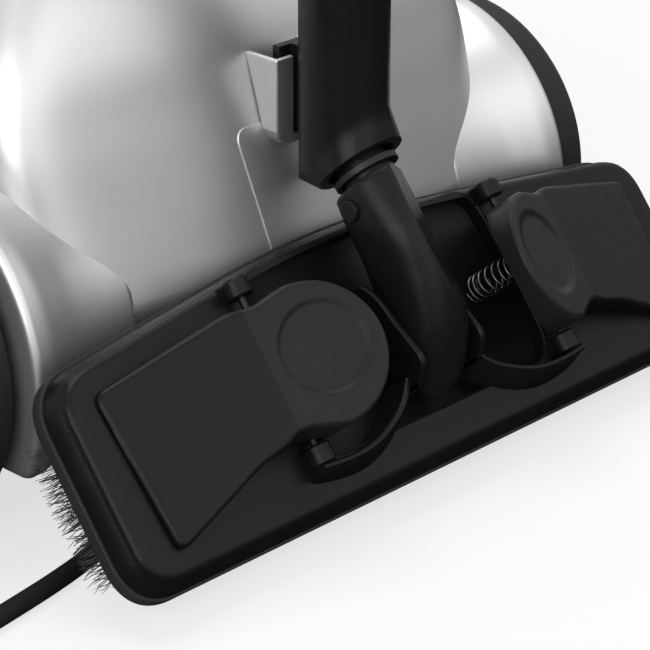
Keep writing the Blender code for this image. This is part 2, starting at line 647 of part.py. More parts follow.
def build_controls():
    low = DECK_TOP_Z + GAP
    stand = Matrix.Translation((0.0, DIAL_Y, 0.0))
    profile = [(0.0, low + DIAL_HEIGHT), (DIAL_RADIUS * 0.86, low + DIAL_HEIGHT), (DIAL_RADIUS, low),
               (DIAL_STEM, low),
               (DIAL_STEM, DECK_LOW_Z), (0.0, DECK_LOW_Z)]
    dial = turned("steam_dial", profile, SATIN_BLACK, stand, 16)
    fuse(dial, block("dial_pointer", (DIAL_POINTER, DIAL_RADIUS, DIAL_POINTER),
                     (0.0, DIAL_Y + DIAL_RADIUS / 2, low + DIAL_HEIGHT)))
    for name, side in (("power_switch", -1), ("boiler_switch", 1)):
        outline = [(-SWITCH_HALF_LENGTH, -SWITCH_DEPTH), (SWITCH_HALF_LENGTH, -SWITCH_DEPTH),
                   (SWITCH_HALF_LENGTH, SWITCH_RISE), (0.0, SWITCH_RISE / 2),
                   (-SWITCH_HALF_LENGTH, SWITCH_RISE)]
        mesh = slab(name, outline, -SWITCH_HALF_WIDTH, SWITCH_HALF_WIDTH)
        mesh.transform(Matrix(((0, 0, 1, 0), (1, 0, 0, 0), (0, 1, 0, 0), (0, 0, 0, 1))))
        place = (Matrix.Translation((side * SWITCH_X, SWITCH_Y, DECK_TOP_Z))
                 @ Matrix.Rotation(-SWITCH_THROW, 4, "X"))
        add_piece(name, mesh, SATIN_BLACK, place)
    for name, side, finish in (("power_lamp", -1, GREEN), ("ready_lamp", 1, AMBER)):
        spot = (side * LAMP_X, LAMP_Y)
        profile = [(0.0, DECK_TOP_Z + LAMP_RISE), (LAMP_RADIUS * 0.7, DECK_TOP_Z + LAMP_RISE * 0.7),
                   (LAMP_RADIUS, DECK_TOP_Z), (LAMP_RADIUS, DECK_LOW_Z), (0.0, DECK_LOW_Z)]
        turned(name, profile, finish, Matrix.Translation((*spot, 0.0)), SMALL_ROUND)


# What the hood covers
BOILER_RADIUS = 0.0520
BOILER_Z = 0.1050
BOILER_WALL = 0.0020
BOILER_FRONT_BEHIND_BRUSH = 0.1120
BOILER_LENGTH = 0.1900
BOILER_DOME = 0.0120
TANK_ROUND = 20
CRADLE_HALF_WIDTH = 0.0460
CRADLE_LENGTH = 0.1100
CRADLE_TOP_Z = 0.0720
CRADLE_BEHIND_BRUSH = 0.1900
HEATER_WIDTH = 0.0260
HEATER_THICK = 0.0026
HEATER_BEHIND_BRUSH = 0.2720
VALVE_RADIUS = 0.0060
VALVE_HEIGHT = 0.0200
VALVE_BEHIND_BRUSH = 0.1850
PIPE_RADIUS = 0.0030
PIPE_BEHIND_BRUSH = 0.2520
PIPE_RISE_Z = 0.1850
PIPE_BEND = 0.0120
SOLENOID_SIZE = (0.0300, 0.0280, 0.0340)
BOARD_SIZE = (0.0440, 0.0900, 0.0018)
BOARD_X = -0.0780
BOARD_BEHIND_BRUSH = 0.2300
BOARD_RAIL = 0.0050


def build_inside():
    floor = BASE_FOOT_Z + BASE_FLOOR + GAP
    front = PLATE_Y + BOILER_FRONT_BEHIND_BRUSH
    lying = Matrix.Translation((0.0, front, BOILER_Z)) @ Matrix.Rotation(math.radians(-90), 4, "X")

    def tank(inset):
        radius, dome = BOILER_RADIUS - inset, BOILER_DOME
        high, low = BOILER_LENGTH - inset, inset
        return [(0.0, high), (radius * 0.6, high - dome * 0.2), (radius, high - dome), (radius, low + dome),
                (radius * 0.6, low + dome * 0.2), (0.0, low)]

    boiler = turned("boiler_tank", tank(0.0), STEEL, lying, TANK_ROUND)
    boolean(boiler, turned("cutter_tank_hollow", tank(BOILER_WALL), None, lying, TANK_ROUND, cutter=True))
    cut(boiler, rod("boiler_mouth", FILLER_BORE, (0.0, FILLER_Y, BOILER_Z),
                    (0.0, FILLER_Y, BOILER_Z + BOILER_RADIUS * 2)))
    half = HEATER_WIDTH / 2
    inner = BOILER_RADIUS + GAP * 2
    band = Matrix.Translation((0.0, PLATE_Y + HEATER_BEHIND_BRUSH,
                               BOILER_Z)) @ Matrix.Rotation(math.radians(-90), 4, "X")
    turned("heater_band", [(inner + HEATER_THICK, half), (inner + HEATER_THICK, -half), (inner, -half),
                           (inner, half)],
           STEEL, band, ROUND)
    top = BOILER_Z + BOILER_RADIUS + GAP
    valve_y = PLATE_Y + VALVE_BEHIND_BRUSH
    add_piece("safety_valve", rod("safety_valve", VALVE_RADIUS, (0.0, valve_y, top),
                                  (0.0, valve_y, top + VALVE_HEIGHT), 8), BRASS)
    solenoid_y = BODY_END_Y + SOCKET_PROUD - SOCKET_SINK - GAP - SOLENOID_SIZE[1] / 2
    add_piece("steam_valve", block("steam_valve", SOLENOID_SIZE, (0.0, solenoid_y, SOCKET_Z)), BRASS)
    pipe_y = PLATE_Y + PIPE_BEHIND_BRUSH
    drop_z = SOCKET_Z + SOLENOID_SIZE[2] / 2 + GAP
    path = [(pipe_y, top), (pipe_y, PIPE_RISE_Z - PIPE_BEND)]
    for y, turn in ((pipe_y + PIPE_BEND, 180), (solenoid_y - PIPE_BEND, 90)):
        for step in range(1, 4):
            angle = math.radians(turn - step * 90 / 3)
            path.append((y + PIPE_BEND * math.cos(angle),
                         PIPE_RISE_Z - PIPE_BEND + PIPE_BEND * math.sin(angle)))
    path.append((solenoid_y, drop_z))
    add_piece("steam_pipe", tube_along("steam_pipe", [(0.0, y, z) for y, z in path], PIPE_RADIUS, 1), COPPER)
    board_y = PLATE_Y + BOARD_BEHIND_BRUSH
    board = add_piece("control_board", block("control_board", BOARD_SIZE,
                                             (BOARD_X, board_y, floor + BOARD_RAIL + BOARD_SIZE[2] / 2)),
                      BOARD)
    for end in (-1, 1):
        rail_height = BOARD_RAIL + BOARD_SIZE[2] / 2
        fuse(board, block(f"board_rail_{end}", (BOARD_SIZE[0], BOARD_RAIL, rail_height),
                          (BOARD_X, board_y + end * (BOARD_SIZE[1] / 2 - BOARD_RAIL),
                           floor + rail_height / 2)))


# The steam outlet at the far end, with its sprung flap
FLANGE_HALF = 0.0230
FLANGE_THICK = 0.0140
FLAP_HALF = 0.0215
FLAP_THICK = 0.0026
FLAP_PIN_RADIUS = 0.0016
FLAP_PIN_RISE = 0.0235
FLAP_PIN_Z = SOCKET_Z + FLAP_PIN_RISE
KNUCKLE_RADIUS = 0.0032
KNUCKLE_HALF = 0.0060
KNUCKLE_EAR = 0.0040


def build_socket():
    face = BODY_END_Y + SOCKET_PROUD
    flange = fillet_outline([(-FLANGE_HALF, SOCKET_Z - FLANGE_HALF), (FLANGE_HALF, SOCKET_Z - FLANGE_HALF),
                             (FLANGE_HALF, FLAP_PIN_Z), (-FLANGE_HALF, FLAP_PIN_Z)], FLANGE_HALF / 4, 2)
    socket = add_piece("hose_socket", slab("hose_socket", flange, 0.0, FLANGE_THICK), SATIN_BLACK,
                       upright(face))
    cut(socket, loft("socket_plate_fit", hood_rings(GAP)))
    fuse(socket, rod("socket_barrel", SOCKET_RADIUS, (0.0, face - SOCKET_SINK, SOCKET_Z),
                     (0.0, face - GAP, SOCKET_Z)))
    cut(socket, rod("socket_bore", SOCKET_BORE, (0.0, face - SOCKET_SINK / 2, SOCKET_Z),
                    (0.0, face + OVERRUN, SOCKET_Z)))
    flap_y = face + GAP
    pin_y = flap_y + KNUCKLE_RADIUS
    axis = (0.0, pin_y, FLAP_PIN_Z)
    edge = FLAP_PIN_Z - KNUCKLE_RADIUS - RUN_GAP
    outline = fillet_outline([(-FLAP_HALF, SOCKET_Z - FLAP_HALF), (FLAP_HALF, SOCKET_Z - FLAP_HALF),
                              (FLAP_HALF, edge), (-FLAP_HALF, edge)],
                             [FLAP_HALF / 4, FLAP_HALF / 4, 0.0, 0.0], 2)
    mesh = slab("socket_flap", outline, -FLAP_THICK / 2, FLAP_THICK / 2)
    mesh.transform(upright(flap_y + FLAP_THICK / 2))
    flap = add_piece("socket_flap", mesh, SATIN_BLACK, moved_origin(mesh, axis))
    tongue_height = KNUCKLE_RADIUS * 2
    fuse(flap, block("flap_tongue", (2 * KNUCKLE_HALF, FLAP_THICK, tongue_height),
                     (0.0, flap_y + FLAP_THICK / 2, FLAP_PIN_Z - tongue_height / 2)))
    fuse(flap, rod("flap_knuckle", KNUCKLE_RADIUS, (-KNUCKLE_HALF, pin_y, FLAP_PIN_Z),
                   (KNUCKLE_HALF, pin_y, FLAP_PIN_Z)))
    cut(flap, rod("flap_bore", FLAP_PIN_RADIUS + GAP, (-FLAP_HALF, pin_y, FLAP_PIN_Z),
                  (FLAP_HALF, pin_y, FLAP_PIN_Z)))
    reach = KNUCKLE_HALF + RUN_GAP
    for side in (-1, 1):
        fuse(socket, rod(f"flap_ear_{side}", KNUCKLE_RADIUS, (side * reach, pin_y, FLAP_PIN_Z),
                         (side * (reach + KNUCKLE_EAR), pin_y, FLAP_PIN_Z)))
        fuse(socket, block(f"flap_ear_root_{side}", (KNUCKLE_EAR, 2 * KNUCKLE_RADIUS, KNUCKLE_RADIUS),
                           (side * (reach + KNUCKLE_EAR / 2), pin_y - KNUCKLE_RADIUS, FLAP_PIN_Z)))
    cut(socket, rod("flap_ear_bore", FLAP_PIN_RADIUS + GAP, (-FLAP_HALF, pin_y, FLAP_PIN_Z),
                    (FLAP_HALF, pin_y, FLAP_PIN_Z)))
    end = reach + KNUCKLE_EAR
    add_piece("flap_pin", rod("flap_pin", FLAP_PIN_RADIUS, (-end, pin_y, FLAP_PIN_Z),
                              (end, pin_y, FLAP_PIN_Z)), STEEL)


# The wand, parked upright in the pocket, and its neck
SWIVEL_BEHIND_BRUSH = 0.0073
SWIVEL_Z = 0.1090
SWIVEL_LEAN = math.radians(45)
NECK_END_RADIUS = 0.0150
RIM_RADIUS = 0.0172
RIM_GAP = 0.0080             # from the neck's end to the cuff's rim, along the swivel line
CUFF_TOP_Z = 0.1900
CUFF_BORE = 0.0135
CUFF_RECESS_DEPTH = 0.0060
CUFF_BORE_DEPTH = 0.0190
SPIGOT_RADIUS = 0.0100
SPIGOT_REACH = 0.0250
RING_RADIUS = 0.0128
RING_THICK = 0.0030
RING_OFFSET = 0.0030
COLLAR_RADIUS = 0.0178
COLLAR_BELOW_TUBE_TOP = 0.0450
COLLAR_OVER_TUBE_TOP = 0.0100
LATCH_BELOW_TUBE_TOP = 0.0200
COLLAR_LOW_Z = TUBE_TOP - COLLAR_BELOW_TUBE_TOP
COLLAR_TOP_Z = TUBE_TOP + COLLAR_OVER_TUBE_TOP
LATCH_Z = TUBE_TOP - LATCH_BELOW_TUBE_TOP
LATCH_RADIUS = 0.0048
LATCH_PROUD = 0.0026
LATCH_DEPTH = 0.0040
CUFF_FACETS = 20
CUFF_KNEE = 0.0060
CUFF_RING_SHARES = [(0.45, 0.0), (1.0, 0.0), (1.0, 0.08)]
SWIVEL_SPOT = Vector((0.0, PLATE_Y + SWIVEL_BEHIND_BRUSH, SWIVEL_Z))
SWIVEL_LINE = Vector((0.0, math.sin(SWIVEL_LEAN), math.cos(SWIVEL_LEAN)))


def swivel_frame(offset=0.0):
    """Z runs up the swivel line, from the neck's end into the wand."""
    return Matrix.Translation(SWIVEL_SPOT + SWIVEL_LINE * offset) @ Matrix.Rotation(-SWIVEL_LEAN, 4, "X")


def circle_points(radius, facets):
    return [(radius * math.cos(2 * math.pi * i / facets),
             radius * math.sin(2 * math.pi * i / facets)) for i in range(facets)]


def build_wand():
    lean = swivel_frame(RIM_GAP)
    rim = [lean @ Vector((x, y, 0.0)) for x, y in circle_points(RIM_RADIUS, CUFF_FACETS)]
    rings = [rim]
    top = [Vector((x, TUBE_Y + y, CUFF_TOP_Z)) for x, y in circle_points(TUBE_RADIUS, CUFF_FACETS)]
    for share, along in CUFF_RING_SHARES:
        ring = []
        for low, high in zip(rim, top):
            knee = Vector((high.x, high.y, low.z + CUFF_KNEE * (1 + (TUBE_Y - high.y) / TUBE_RADIUS)))
            ring.append(low.lerp(knee, share) if along == 0.0 else knee.lerp(high, along))
        rings.append(ring)
    rings.append(top)
    cuff = add_piece("wand_cuff", loft("wand_cuff", rings), SATIN_BLACK)
    cut(cuff, rod("cuff_recess", CUFF_BORE, SWIVEL_SPOT,
                  SWIVEL_SPOT + SWIVEL_LINE * (RIM_GAP + CUFF_RECESS_DEPTH), CUFF_FACETS))
    cut(cuff, rod("cuff_bore", SPIGOT_RADIUS + GAP, SWIVEL_SPOT,
                  SWIVEL_SPOT + SWIVEL_LINE * (RIM_GAP + CUFF_BORE_DEPTH), CUFF_FACETS))
    stand = Matrix.Translation((0.0, TUBE_Y, 0.0))
    outer, inner = TUBE_RADIUS - TUBE_WALL, TUBE_RADIUS - TUBE_WALL * 2
    low = CUFF_TOP_Z + GAP
    turned("wand_tube", [(outer, TUBE_TOP), (outer, low), (inner, low), (inner, TUBE_TOP)], SATIN_BLACK,
           stand, CUFF_FACETS)
    bore = outer + GAP
    collar = turned("wand_collar", [(COLLAR_RADIUS, COLLAR_TOP_Z), (COLLAR_RADIUS, COLLAR_LOW_Z),
                                    (bore, COLLAR_LOW_Z), (bore, COLLAR_TOP_Z)], CHARCOAL, stand,
                    CUFF_FACETS)
    face = TUBE_Y - COLLAR_RADIUS
    cut(collar, rod("latch_hole", LATCH_RADIUS + RUN_GAP, (0.0, face - OVERRUN, LATCH_Z),
                    (0.0, TUBE_Y, LATCH_Z)))
    tube_hole = rod("tube_latch_hole", LATCH_RADIUS + RUN_GAP, (0.0, face - OVERRUN, LATCH_Z),
                    (0.0, TUBE_Y, LATCH_Z))
    cut(parts.objects["wand_tube"], tube_hole)
    mesh = rod("wand_latch", LATCH_RADIUS, (0.0, face - LATCH_PROUD, LATCH_Z),
               (0.0, TUBE_Y - inner + LATCH_DEPTH, LATCH_Z))
    add_piece("wand_latch", mesh, SATIN_BLACK, moved_origin(mesh, (0.0, face, LATCH_Z)))
    front = PLATE_Y + POCKET_FRONT_BEHIND_BRUSH + POCKET_WALL
    flange_y = front + RUN_GAP + HOOK_FLANGE_THICK / 2
    hook_mid = (HOOK_LOW_Z + HOOK_TOP_Z) / 2
    height = HOOK_TOP_Z - HOOK_LOW_Z
    hook = add_piece("wand_hook", block("wand_hook", (2 * HOOK_FLANGE_HALF, HOOK_FLANGE_THICK, height),
                                        (0.0, flange_y, hook_mid)),
                     SATIN_BLACK)
    web_length = flange_y - TUBE_Y
    fuse(hook, block("hook_web", (2 * HOOK_WEB_HALF, web_length, height),
                     (0.0, flange_y - web_length / 2, hook_mid)))
    cut(hook, rod("hook_fit", TUBE_RADIUS + GAP, (0.0, TUBE_Y, 0.0), (0.0, TUBE_Y, TUBE_TOP),
                  CUFF_FACETS * 2))
    cut(hook, loft("hook_clear", hood_rings(RUN_GAP)))


# Neck sections in the brush's own frame: (v, n) of the front ridge and of the back, and the half thickness
NECK_SECTIONS = [
    ((-0.0140, 0.0370), (-0.0275, 0.0046), 0.0150),
    ((0.0020, 0.0340), (-0.0125, 0.0032), 0.0140),
    ((0.0156, 0.0290), (0.0030, 0.0005), 0.0136),
    ((0.0255, 0.0235), (0.0160, -0.0022), 0.0134),
    ((0.0350, 0.0140), (0.0270, -0.0028), 0.0125),
    ((0.0405, 0.0060), (0.0350, -0.0020), 0.0090),
    ((0.0430, 0.0020), (0.0405, -0.0005), 0.0040),
]
NECK_FACETS = 16
NECK_POWER_SHARE = 0.85
PIVOT_V = 0.0095
PIVOT_N = 0.0070
PIN_RADIUS = 0.0025
BUTTON_V = -0.0300
BUTTON_N = 0.0190
BUTTON_RADIUS = 0.0042
BUTTON_OUTER_X = -0.0166
BUTTON_INNER_X = -0.0090
BUTTON_TRAVEL = 0.0016
BRUSH = Matrix.Translation((0.0, PLATE_Y, PLATE_Z)) @ Matrix.Rotation(BRUSH_LEAN, 4, "X")


def plate_point(u, v, n):
    """u along the brush, v down its slope and n out of its face."""
    return BRUSH @ Vector((u, -v, n))


def build_neck():
    rings = [[swivel_frame() @ Vector((x, y, 0.0)) for x, y in circle_points(NECK_END_RADIUS, NECK_FACETS)]]
    for front, back, half in NECK_SECTIONS:
        middle = Vector(((front[0] + back[0]) / 2, (front[1] + back[1]) / 2))
        spoke = Vector((back[0] - front[0], back[1] - front[1])) / 2
        ring = []
        for i in range(NECK_FACETS):
            angle = 2 * math.pi * i / NECK_FACETS
            across = half * math.copysign(abs(math.cos(angle)) ** NECK_POWER_SHARE, math.cos(angle))
            place = middle + spoke * math.copysign(abs(math.sin(angle)) ** NECK_POWER_SHARE, math.sin(angle))
            ring.append(plate_point(across, place.x, place.y))
        rings.append(ring)
    neck = add_piece("neck", loft("neck", rings), SATIN_BLACK)
    fuse(neck, rod("neck_spigot", SPIGOT_RADIUS, SWIVEL_SPOT - SWIVEL_LINE * OVERRUN,
                   SWIVEL_SPOT + SWIVEL_LINE * SPIGOT_REACH))
    pin_end = EAR_OUTER + PIN_RADIUS / 2
    cut(neck, rod("neck_pin_bore", PIN_RADIUS + RUN_GAP, plate_point(-pin_end, PIVOT_V, PIVOT_N),
                  plate_point(pin_end, PIVOT_V, PIVOT_N)))
    deep = BUTTON_INNER_X + BUTTON_TRAVEL + RUN_GAP
    cut(neck, rod("button_well", BUTTON_RADIUS + RUN_GAP,
                  plate_point(BUTTON_OUTER_X - OVERRUN, BUTTON_V, BUTTON_N),
                  plate_point(deep, BUTTON_V, BUTTON_N)))
    spot = plate_point(BUTTON_OUTER_X, BUTTON_V, BUTTON_N)
    mesh = rod("neck_button", BUTTON_RADIUS, spot, plate_point(BUTTON_INNER_X, BUTTON_V, BUTTON_N))
    add_piece("neck_button", mesh, SATIN_BLACK, moved_origin(mesh, spot))
    inner = SPIGOT_RADIUS + RUN_GAP
    turned("swivel_ring", [(RING_RADIUS, RING_THICK), (RING_RADIUS, 0.0), (inner, 0.0),
                           (inner, RING_THICK)], STEEL, swivel_frame(RING_OFFSET), CUFF_FACETS)
    add_piece("tilt_pin", rod("tilt_pin", PIN_RADIUS, plate_point(-EAR_OUTER, PIVOT_V, PIVOT_N),
                              plate_point(EAR_OUTER, PIVOT_V, PIVOT_N)), STEEL)


# The floor brush
COVER_DEPTH = 0.0107
COVER_FLARE = 0.0026
COVER_CHAMFER = 0.0022
POCKET_FLOOR_N = -0.0070
WELL_HALF_LENGTH = 0.0620
WELL_FRONT_V = 0.0455
WELL_REAR_V = -0.0255
WELL_CORNER = 0.0120
BASE_THICK = 0.0055
BASE_GROW = 0.0036
PEDAL_PIVOT_U = 0.0660
PEDAL_PIVOT_N = 0.0045
LUG_RADIUS = 0.0050
LUG_REAR_V = (-0.0246, -0.0176)
LUG_FRONT_V = (0.0392, 0.0468)
PEDAL_PIN_RADIUS = 0.0015
EAR_INNER = 0.0146
EAR_OUTER = 0.0171
COLLAR_THICK = 0.0022
COLLAR_N = 0.0090
# The low collar round the well, from the front lug to the ear: (u, v)
COLLAR_PATH = [(0.0700, 0.0476), (0.0560, 0.0486), (0.0440, 0.0476), (0.0330, 0.0440), (0.0240, 0.0390),
               (0.0170, 0.0320)]
EAR_OUTLINE = [(-0.0060, -0.0085), (-0.0060, 0.0080), (0.0020, 0.0130), (0.0120, 0.0150), (0.0220, 0.0180),
               (0.0290, 0.0200), (0.0340, 0.0150), (0.0370, 0.0090), (0.0380, -0.0085)]
PEDAL_LOW_N = 0.0006
# The pedal's profile across the brush: wing, crease, and the lobe that rises towards the neck
PEDAL_OUTER_N = 0.0022
PEDAL_CREASE_U, PEDAL_CREASE_N = 0.0790, 0.0170
PEDAL_TIP_N = 0.0327
UNDER_KNEE_U = 0.0640
UNDER_TIP_N = 0.0230
PEDAL_SKIRT = 0.0026
PEDAL_ROOF = 0.0028
PEDAL_HOLLOW_U = 0.0590
LOBE_U, LOBE_V = 0.0625, 0.0125
LOBE_HALF_U, LOBE_HALF_V = 0.0246, 0.0263
LOBE_STEPS = 12
WING = [(0.0798, 0.0363), (0.0945, 0.0380), (0.1350, 0.0535), (0.1385, -0.0060), (0.0778, -0.0139)]
WING_CORNER = 0.0030
DISH_U, DISH_V = 0.0542, 0.0105
DISH_RADIUS = 0.0140
DISH_DEPTH = 0.0010
SPRING_U, SPRING_V = 0.0470, 0.0110
SPRING_RADIUS = 0.0050
SPRING_WIRE = 0.00055
SPRING_TURNS = 6
SPRING_STEPS = 8
POST_RADIUS = 0.0036
POST_TOP_N = -0.0010


def brush_outline(grow):
    half, front, rear = BRUSH_LENGTH / 2 + grow, BRUSH_FRONT + grow, BRUSH_REAR + grow
    corners = [(-half, -front), (half, -front), (half, rear - BRUSH_REAR_DROP), (0.0, rear),
               (-half, rear - BRUSH_REAR_DROP)]
    bend = BRUSH_CORNER + grow
    return fillet_outline(corners, [bend, bend, bend, BRUSH_LENGTH / 2, bend], 2)


def brush_ring(grow, n):
    return [(x, y, n) for x, y in brush_outline(grow)]


def strip_outline(path, thickness):
    """Both sides of a path of even thickness, as one outline."""
    spots = [Vector(p) for p in path]
    sides = []
    for i, spot in enumerate(spots):
        before, after = spots[max(i - 1, 0)], spots[min(i + 1, len(spots) - 1)]
        run = (after - before).normalized()
        sides.append(Vector((-run.y, run.x)) * thickness / 2)
    return [tuple(s + d) for s, d in zip(spots, sides)] + [tuple(s - d) for s,
                                                           d in reversed(list(zip(spots, sides)))]


def build_brush():
    rings = [brush_ring(COVER_FLARE, -COVER_DEPTH), brush_ring(0.0, -COVER_CHAMFER),
             brush_ring(-COVER_CHAMFER, 0.0)]
    cover = add_piece("brush_cover", loft("brush_cover", rings), SATIN_BLACK, BRUSH)
    well = fillet_outline([(-WELL_HALF_LENGTH, -WELL_FRONT_V), (WELL_HALF_LENGTH, -WELL_FRONT_V),
                           (WELL_HALF_LENGTH, -WELL_REAR_V), (-WELL_HALF_LENGTH, -WELL_REAR_V)],
                          WELL_CORNER, 2)
    cut(cover, slab("well", well, POCKET_FLOOR_N, OVERRUN), BRUSH)
    for side in (-1, 1):
        for place, (rear, front) in (("rear", LUG_REAR_V), ("front", LUG_FRONT_V)):
            fuse(cover, rod(f"lug_{place}_{side}", LUG_RADIUS, (side * PEDAL_PIVOT_U, -rear, PEDAL_PIVOT_N),
                            (side * PEDAL_PIVOT_U, -front, PEDAL_PIVOT_N), 10), BRUSH)
        collar = strip_outline([(side * u, -v) for u, v in COLLAR_PATH], COLLAR_THICK)
        fuse(cover, slab(f"collar_{side}", collar, POCKET_FLOOR_N - COVER_CHAMFER / 2, COLLAR_N), BRUSH)
        ear = slab(f"ear_{side}", [(-v, n) for v, n in EAR_OUTLINE], EAR_INNER, EAR_OUTER)
        ear.transform(Matrix(((0, 0, side, 0), (1, 0, 0, 0), (0, 1, 0, 0), (0, 0, 0, 1))))
        if side < 0:
            ear.flip_normals()
        fuse(cover, ear, BRUSH)
        fuse(cover, rod(f"spring_post_{side}", POST_RADIUS,
                        (side * SPRING_U, -SPRING_V, POCKET_FLOOR_N - COVER_CHAMFER / 2),
                        (side * SPRING_U, -SPRING_V, POST_TOP_N), 8), BRUSH)
        cut(cover, rod(f"pedal_pin_bore_{side}", PEDAL_PIN_RADIUS + GAP,
                       (side * PEDAL_PIVOT_U, -LUG_REAR_V[0] + OVERRUN, PEDAL_PIVOT_N),
                       (side * PEDAL_PIVOT_U, -LUG_FRONT_V[1] - OVERRUN, PEDAL_PIVOT_N), 8), BRUSH)
    cut(cover, rod("tilt_pin_bore", PIN_RADIUS + GAP, (-EAR_OUTER - OVERRUN, -PIVOT_V, PIVOT_N),
                   (EAR_OUTER + OVERRUN, -PIVOT_V, PIVOT_N)), BRUSH)
    top = -COVER_DEPTH - GAP
    add_piece("brush_base", loft("brush_base",
                                 [brush_ring(BASE_GROW - COVER_CHAMFER / 2, top - BASE_THICK),
                                  brush_ring(BASE_GROW, top - COVER_CHAMFER / 2),
                                                brush_ring(BASE_GROW, top)]), CHARCOAL, BRUSH)


def lobe_n(u):
    """Height of the lobe's flat top over the cover."""
    tip = LOBE_U - LOBE_HALF_U
    return PEDAL_CREASE_N + (PEDAL_TIP_N - PEDAL_CREASE_N) * (PEDAL_CREASE_U - u) / (PEDAL_CREASE_U - tip)


def build_pedal(side_name, side):
    arc = []
    for step in range(LOBE_STEPS + 1):
        angle = math.pi / 2 - math.pi * step / LOBE_STEPS
        arc.append((LOBE_U - LOBE_HALF_U * math.cos(angle), LOBE_V - LOBE_HALF_V * math.sin(angle)))
    wing = fillet_outline(WING, [0.0, 0.0, WING_CORNER, WING_CORNER, 0.0], 2)
    mesh = slab(side_name + "_pedal", [(side * u, -v) for u, v in arc + wing], PEDAL_LOW_N,
                PEDAL_TIP_N + OVERRUN)
    place = BRUSH @ moved_origin(mesh, (side * PEDAL_PIVOT_U, -PIVOT_V, PEDAL_PIVOT_N))
    pedal = add_piece(side_name + "_pedal", mesh, SATIN_BLACK, place)
    tip, end = LOBE_U - LOBE_HALF_U, WING[3][0]
    inner, outer = tip - OVERRUN, end + OVERRUN
    rise = (UNDER_TIP_N - PEDAL_LOW_N) / (UNDER_KNEE_U - tip)
    profile = [(inner, UNDER_TIP_N + rise * OVERRUN),
               (UNDER_KNEE_U + OVERRUN, PEDAL_LOW_N - rise * OVERRUN),
               (outer, PEDAL_LOW_N - rise * OVERRUN), (outer, PEDAL_OUTER_N),
               (PEDAL_CREASE_U, PEDAL_CREASE_N), (inner, lobe_n(inner))]
    prism = slab(side_name + "_pedal_profile", profile, -2 * BRUSH_FRONT, 2 * BRUSH_FRONT)
    prism.transform(Matrix(((side, 0, 0, 0), (0, 0, 1, 0), (0, 1, 0, 0), (0, 0, 0, 1))))
    if side > 0:
        prism.flip_normals()
    keep_inside(pedal, prism, BRUSH)
    shrink = (LOBE_HALF_U - PEDAL_SKIRT) / LOBE_HALF_U
    hollow = [(LOBE_U + (u - LOBE_U) * shrink, LOBE_V + (v - LOBE_V) * shrink) for u, v in arc[1:-1]]
    hollow = [(u, v) for u, v in hollow if u < PEDAL_HOLLOW_U]
    hollow = [(PEDAL_HOLLOW_U, hollow[0][1])] + hollow + [(PEDAL_HOLLOW_U, hollow[-1][1])]
    low = [(side * u, -v, -OVERRUN) for u, v in hollow]
    high = [(side * u, -v, lobe_n(u) - PEDAL_ROOF) for u, v in hollow]
    cut(pedal, loft(side_name + "_lobe_hollow", [low, high]), BRUSH)
    lean = math.atan2(lobe_n(tip) - PEDAL_CREASE_N, PEDAL_CREASE_U - tip)
    up = Vector((side * math.sin(lean), 0.0, math.cos(lean)))
    floor = Vector((side * DISH_U, -DISH_V, lobe_n(DISH_U))) - up * DISH_DEPTH
    cut(pedal, rod(side_name + "_dish", DISH_RADIUS, floor, floor + up * (DISH_DEPTH + OVERRUN), SMALL_ROUND,
                   DISH_RADIUS + DISH_DEPTH + OVERRUN), BRUSH)
    ends = ((side * PEDAL_PIVOT_U, -LUG_REAR_V[0], PEDAL_PIVOT_N),
            (side * PEDAL_PIVOT_U, -LUG_FRONT_V[1], PEDAL_PIVOT_N))
    cut(pedal, rod(side_name + "_pedal_bore", PEDAL_PIN_RADIUS + RUN_GAP, *ends, 8), BRUSH)
    add_piece(side_name + "_pedal_pin", rod(side_name + "_pedal_pin", PEDAL_PIN_RADIUS, *ends, 8), STEEL,
              BRUSH)
    turns = []
    low = POCKET_FLOOR_N + GAP + SPRING_WIRE
    high = lobe_n(SPRING_U + SPRING_RADIUS) - PEDAL_ROOF - GAP - SPRING_WIRE
    count = SPRING_TURNS * SPRING_STEPS
    for step in range(count + 1):
        angle = 2 * math.pi * step / SPRING_STEPS
        turns.append((side * SPRING_U + SPRING_RADIUS * math.cos(angle),
                      -SPRING_V + SPRING_RADIUS * math.sin(angle),
                      low + (high - low) * step / count))
    gap = (high - low) / SPRING_TURNS - 2 * SPRING_WIRE
    print(f"{side_name} spring, least gap between curls: {gap * 1000:.2f} mm")
    add_piece(side_name + "_spring", tube_along(side_name + "_spring", turns, SPRING_WIRE, 1), STEEL, BRUSH)


# Bristles: four strips, each with its strands grown from a slice of backing
STRIP_TOP_N = -COVER_DEPTH - GAP - BASE_THICK - GAP
STRIP_THICK = 0.0025
BRISTLE_TIP_N = -0.0320
STRAND_STAGGER_SHARE = 0.25
BRISTLE_RADIUS = 0.0009
BRISTLE_TIP_SHARE = 0.5
BRISTLE_SPLAY = 0.0010
STRIP_HALF = 0.0036
ROW_OFFSET = 0.0016
END_STRIP_INSET = 0.0060
END_STRIP_FRONT_INSET = 0.0113
END_STRIP_REAR_V = 0.0020
END_STRIP_U = BRUSH_LENGTH / 2 - END_STRIP_INSET
END_STRIP_V = (END_STRIP_REAR_V, BRUSH_FRONT - END_STRIP_FRONT_INSET)
FRONT_STRIP_INSET = 0.0057
FRONT_STRIP_SHORT = 0.0100
FRONT_STRIP_V = BRUSH_FRONT - FRONT_STRIP_INSET
FRONT_STRIP_HALF_LENGTH = END_STRIP_U - FRONT_STRIP_SHORT
REAR_STRIP_INSET = 0.0170
REAR_STRIP_SHORT = 0.0140
REAR_STRIP_HALF_LENGTH = END_STRIP_U - REAR_STRIP_SHORT
END_SPLAY = 0.0050


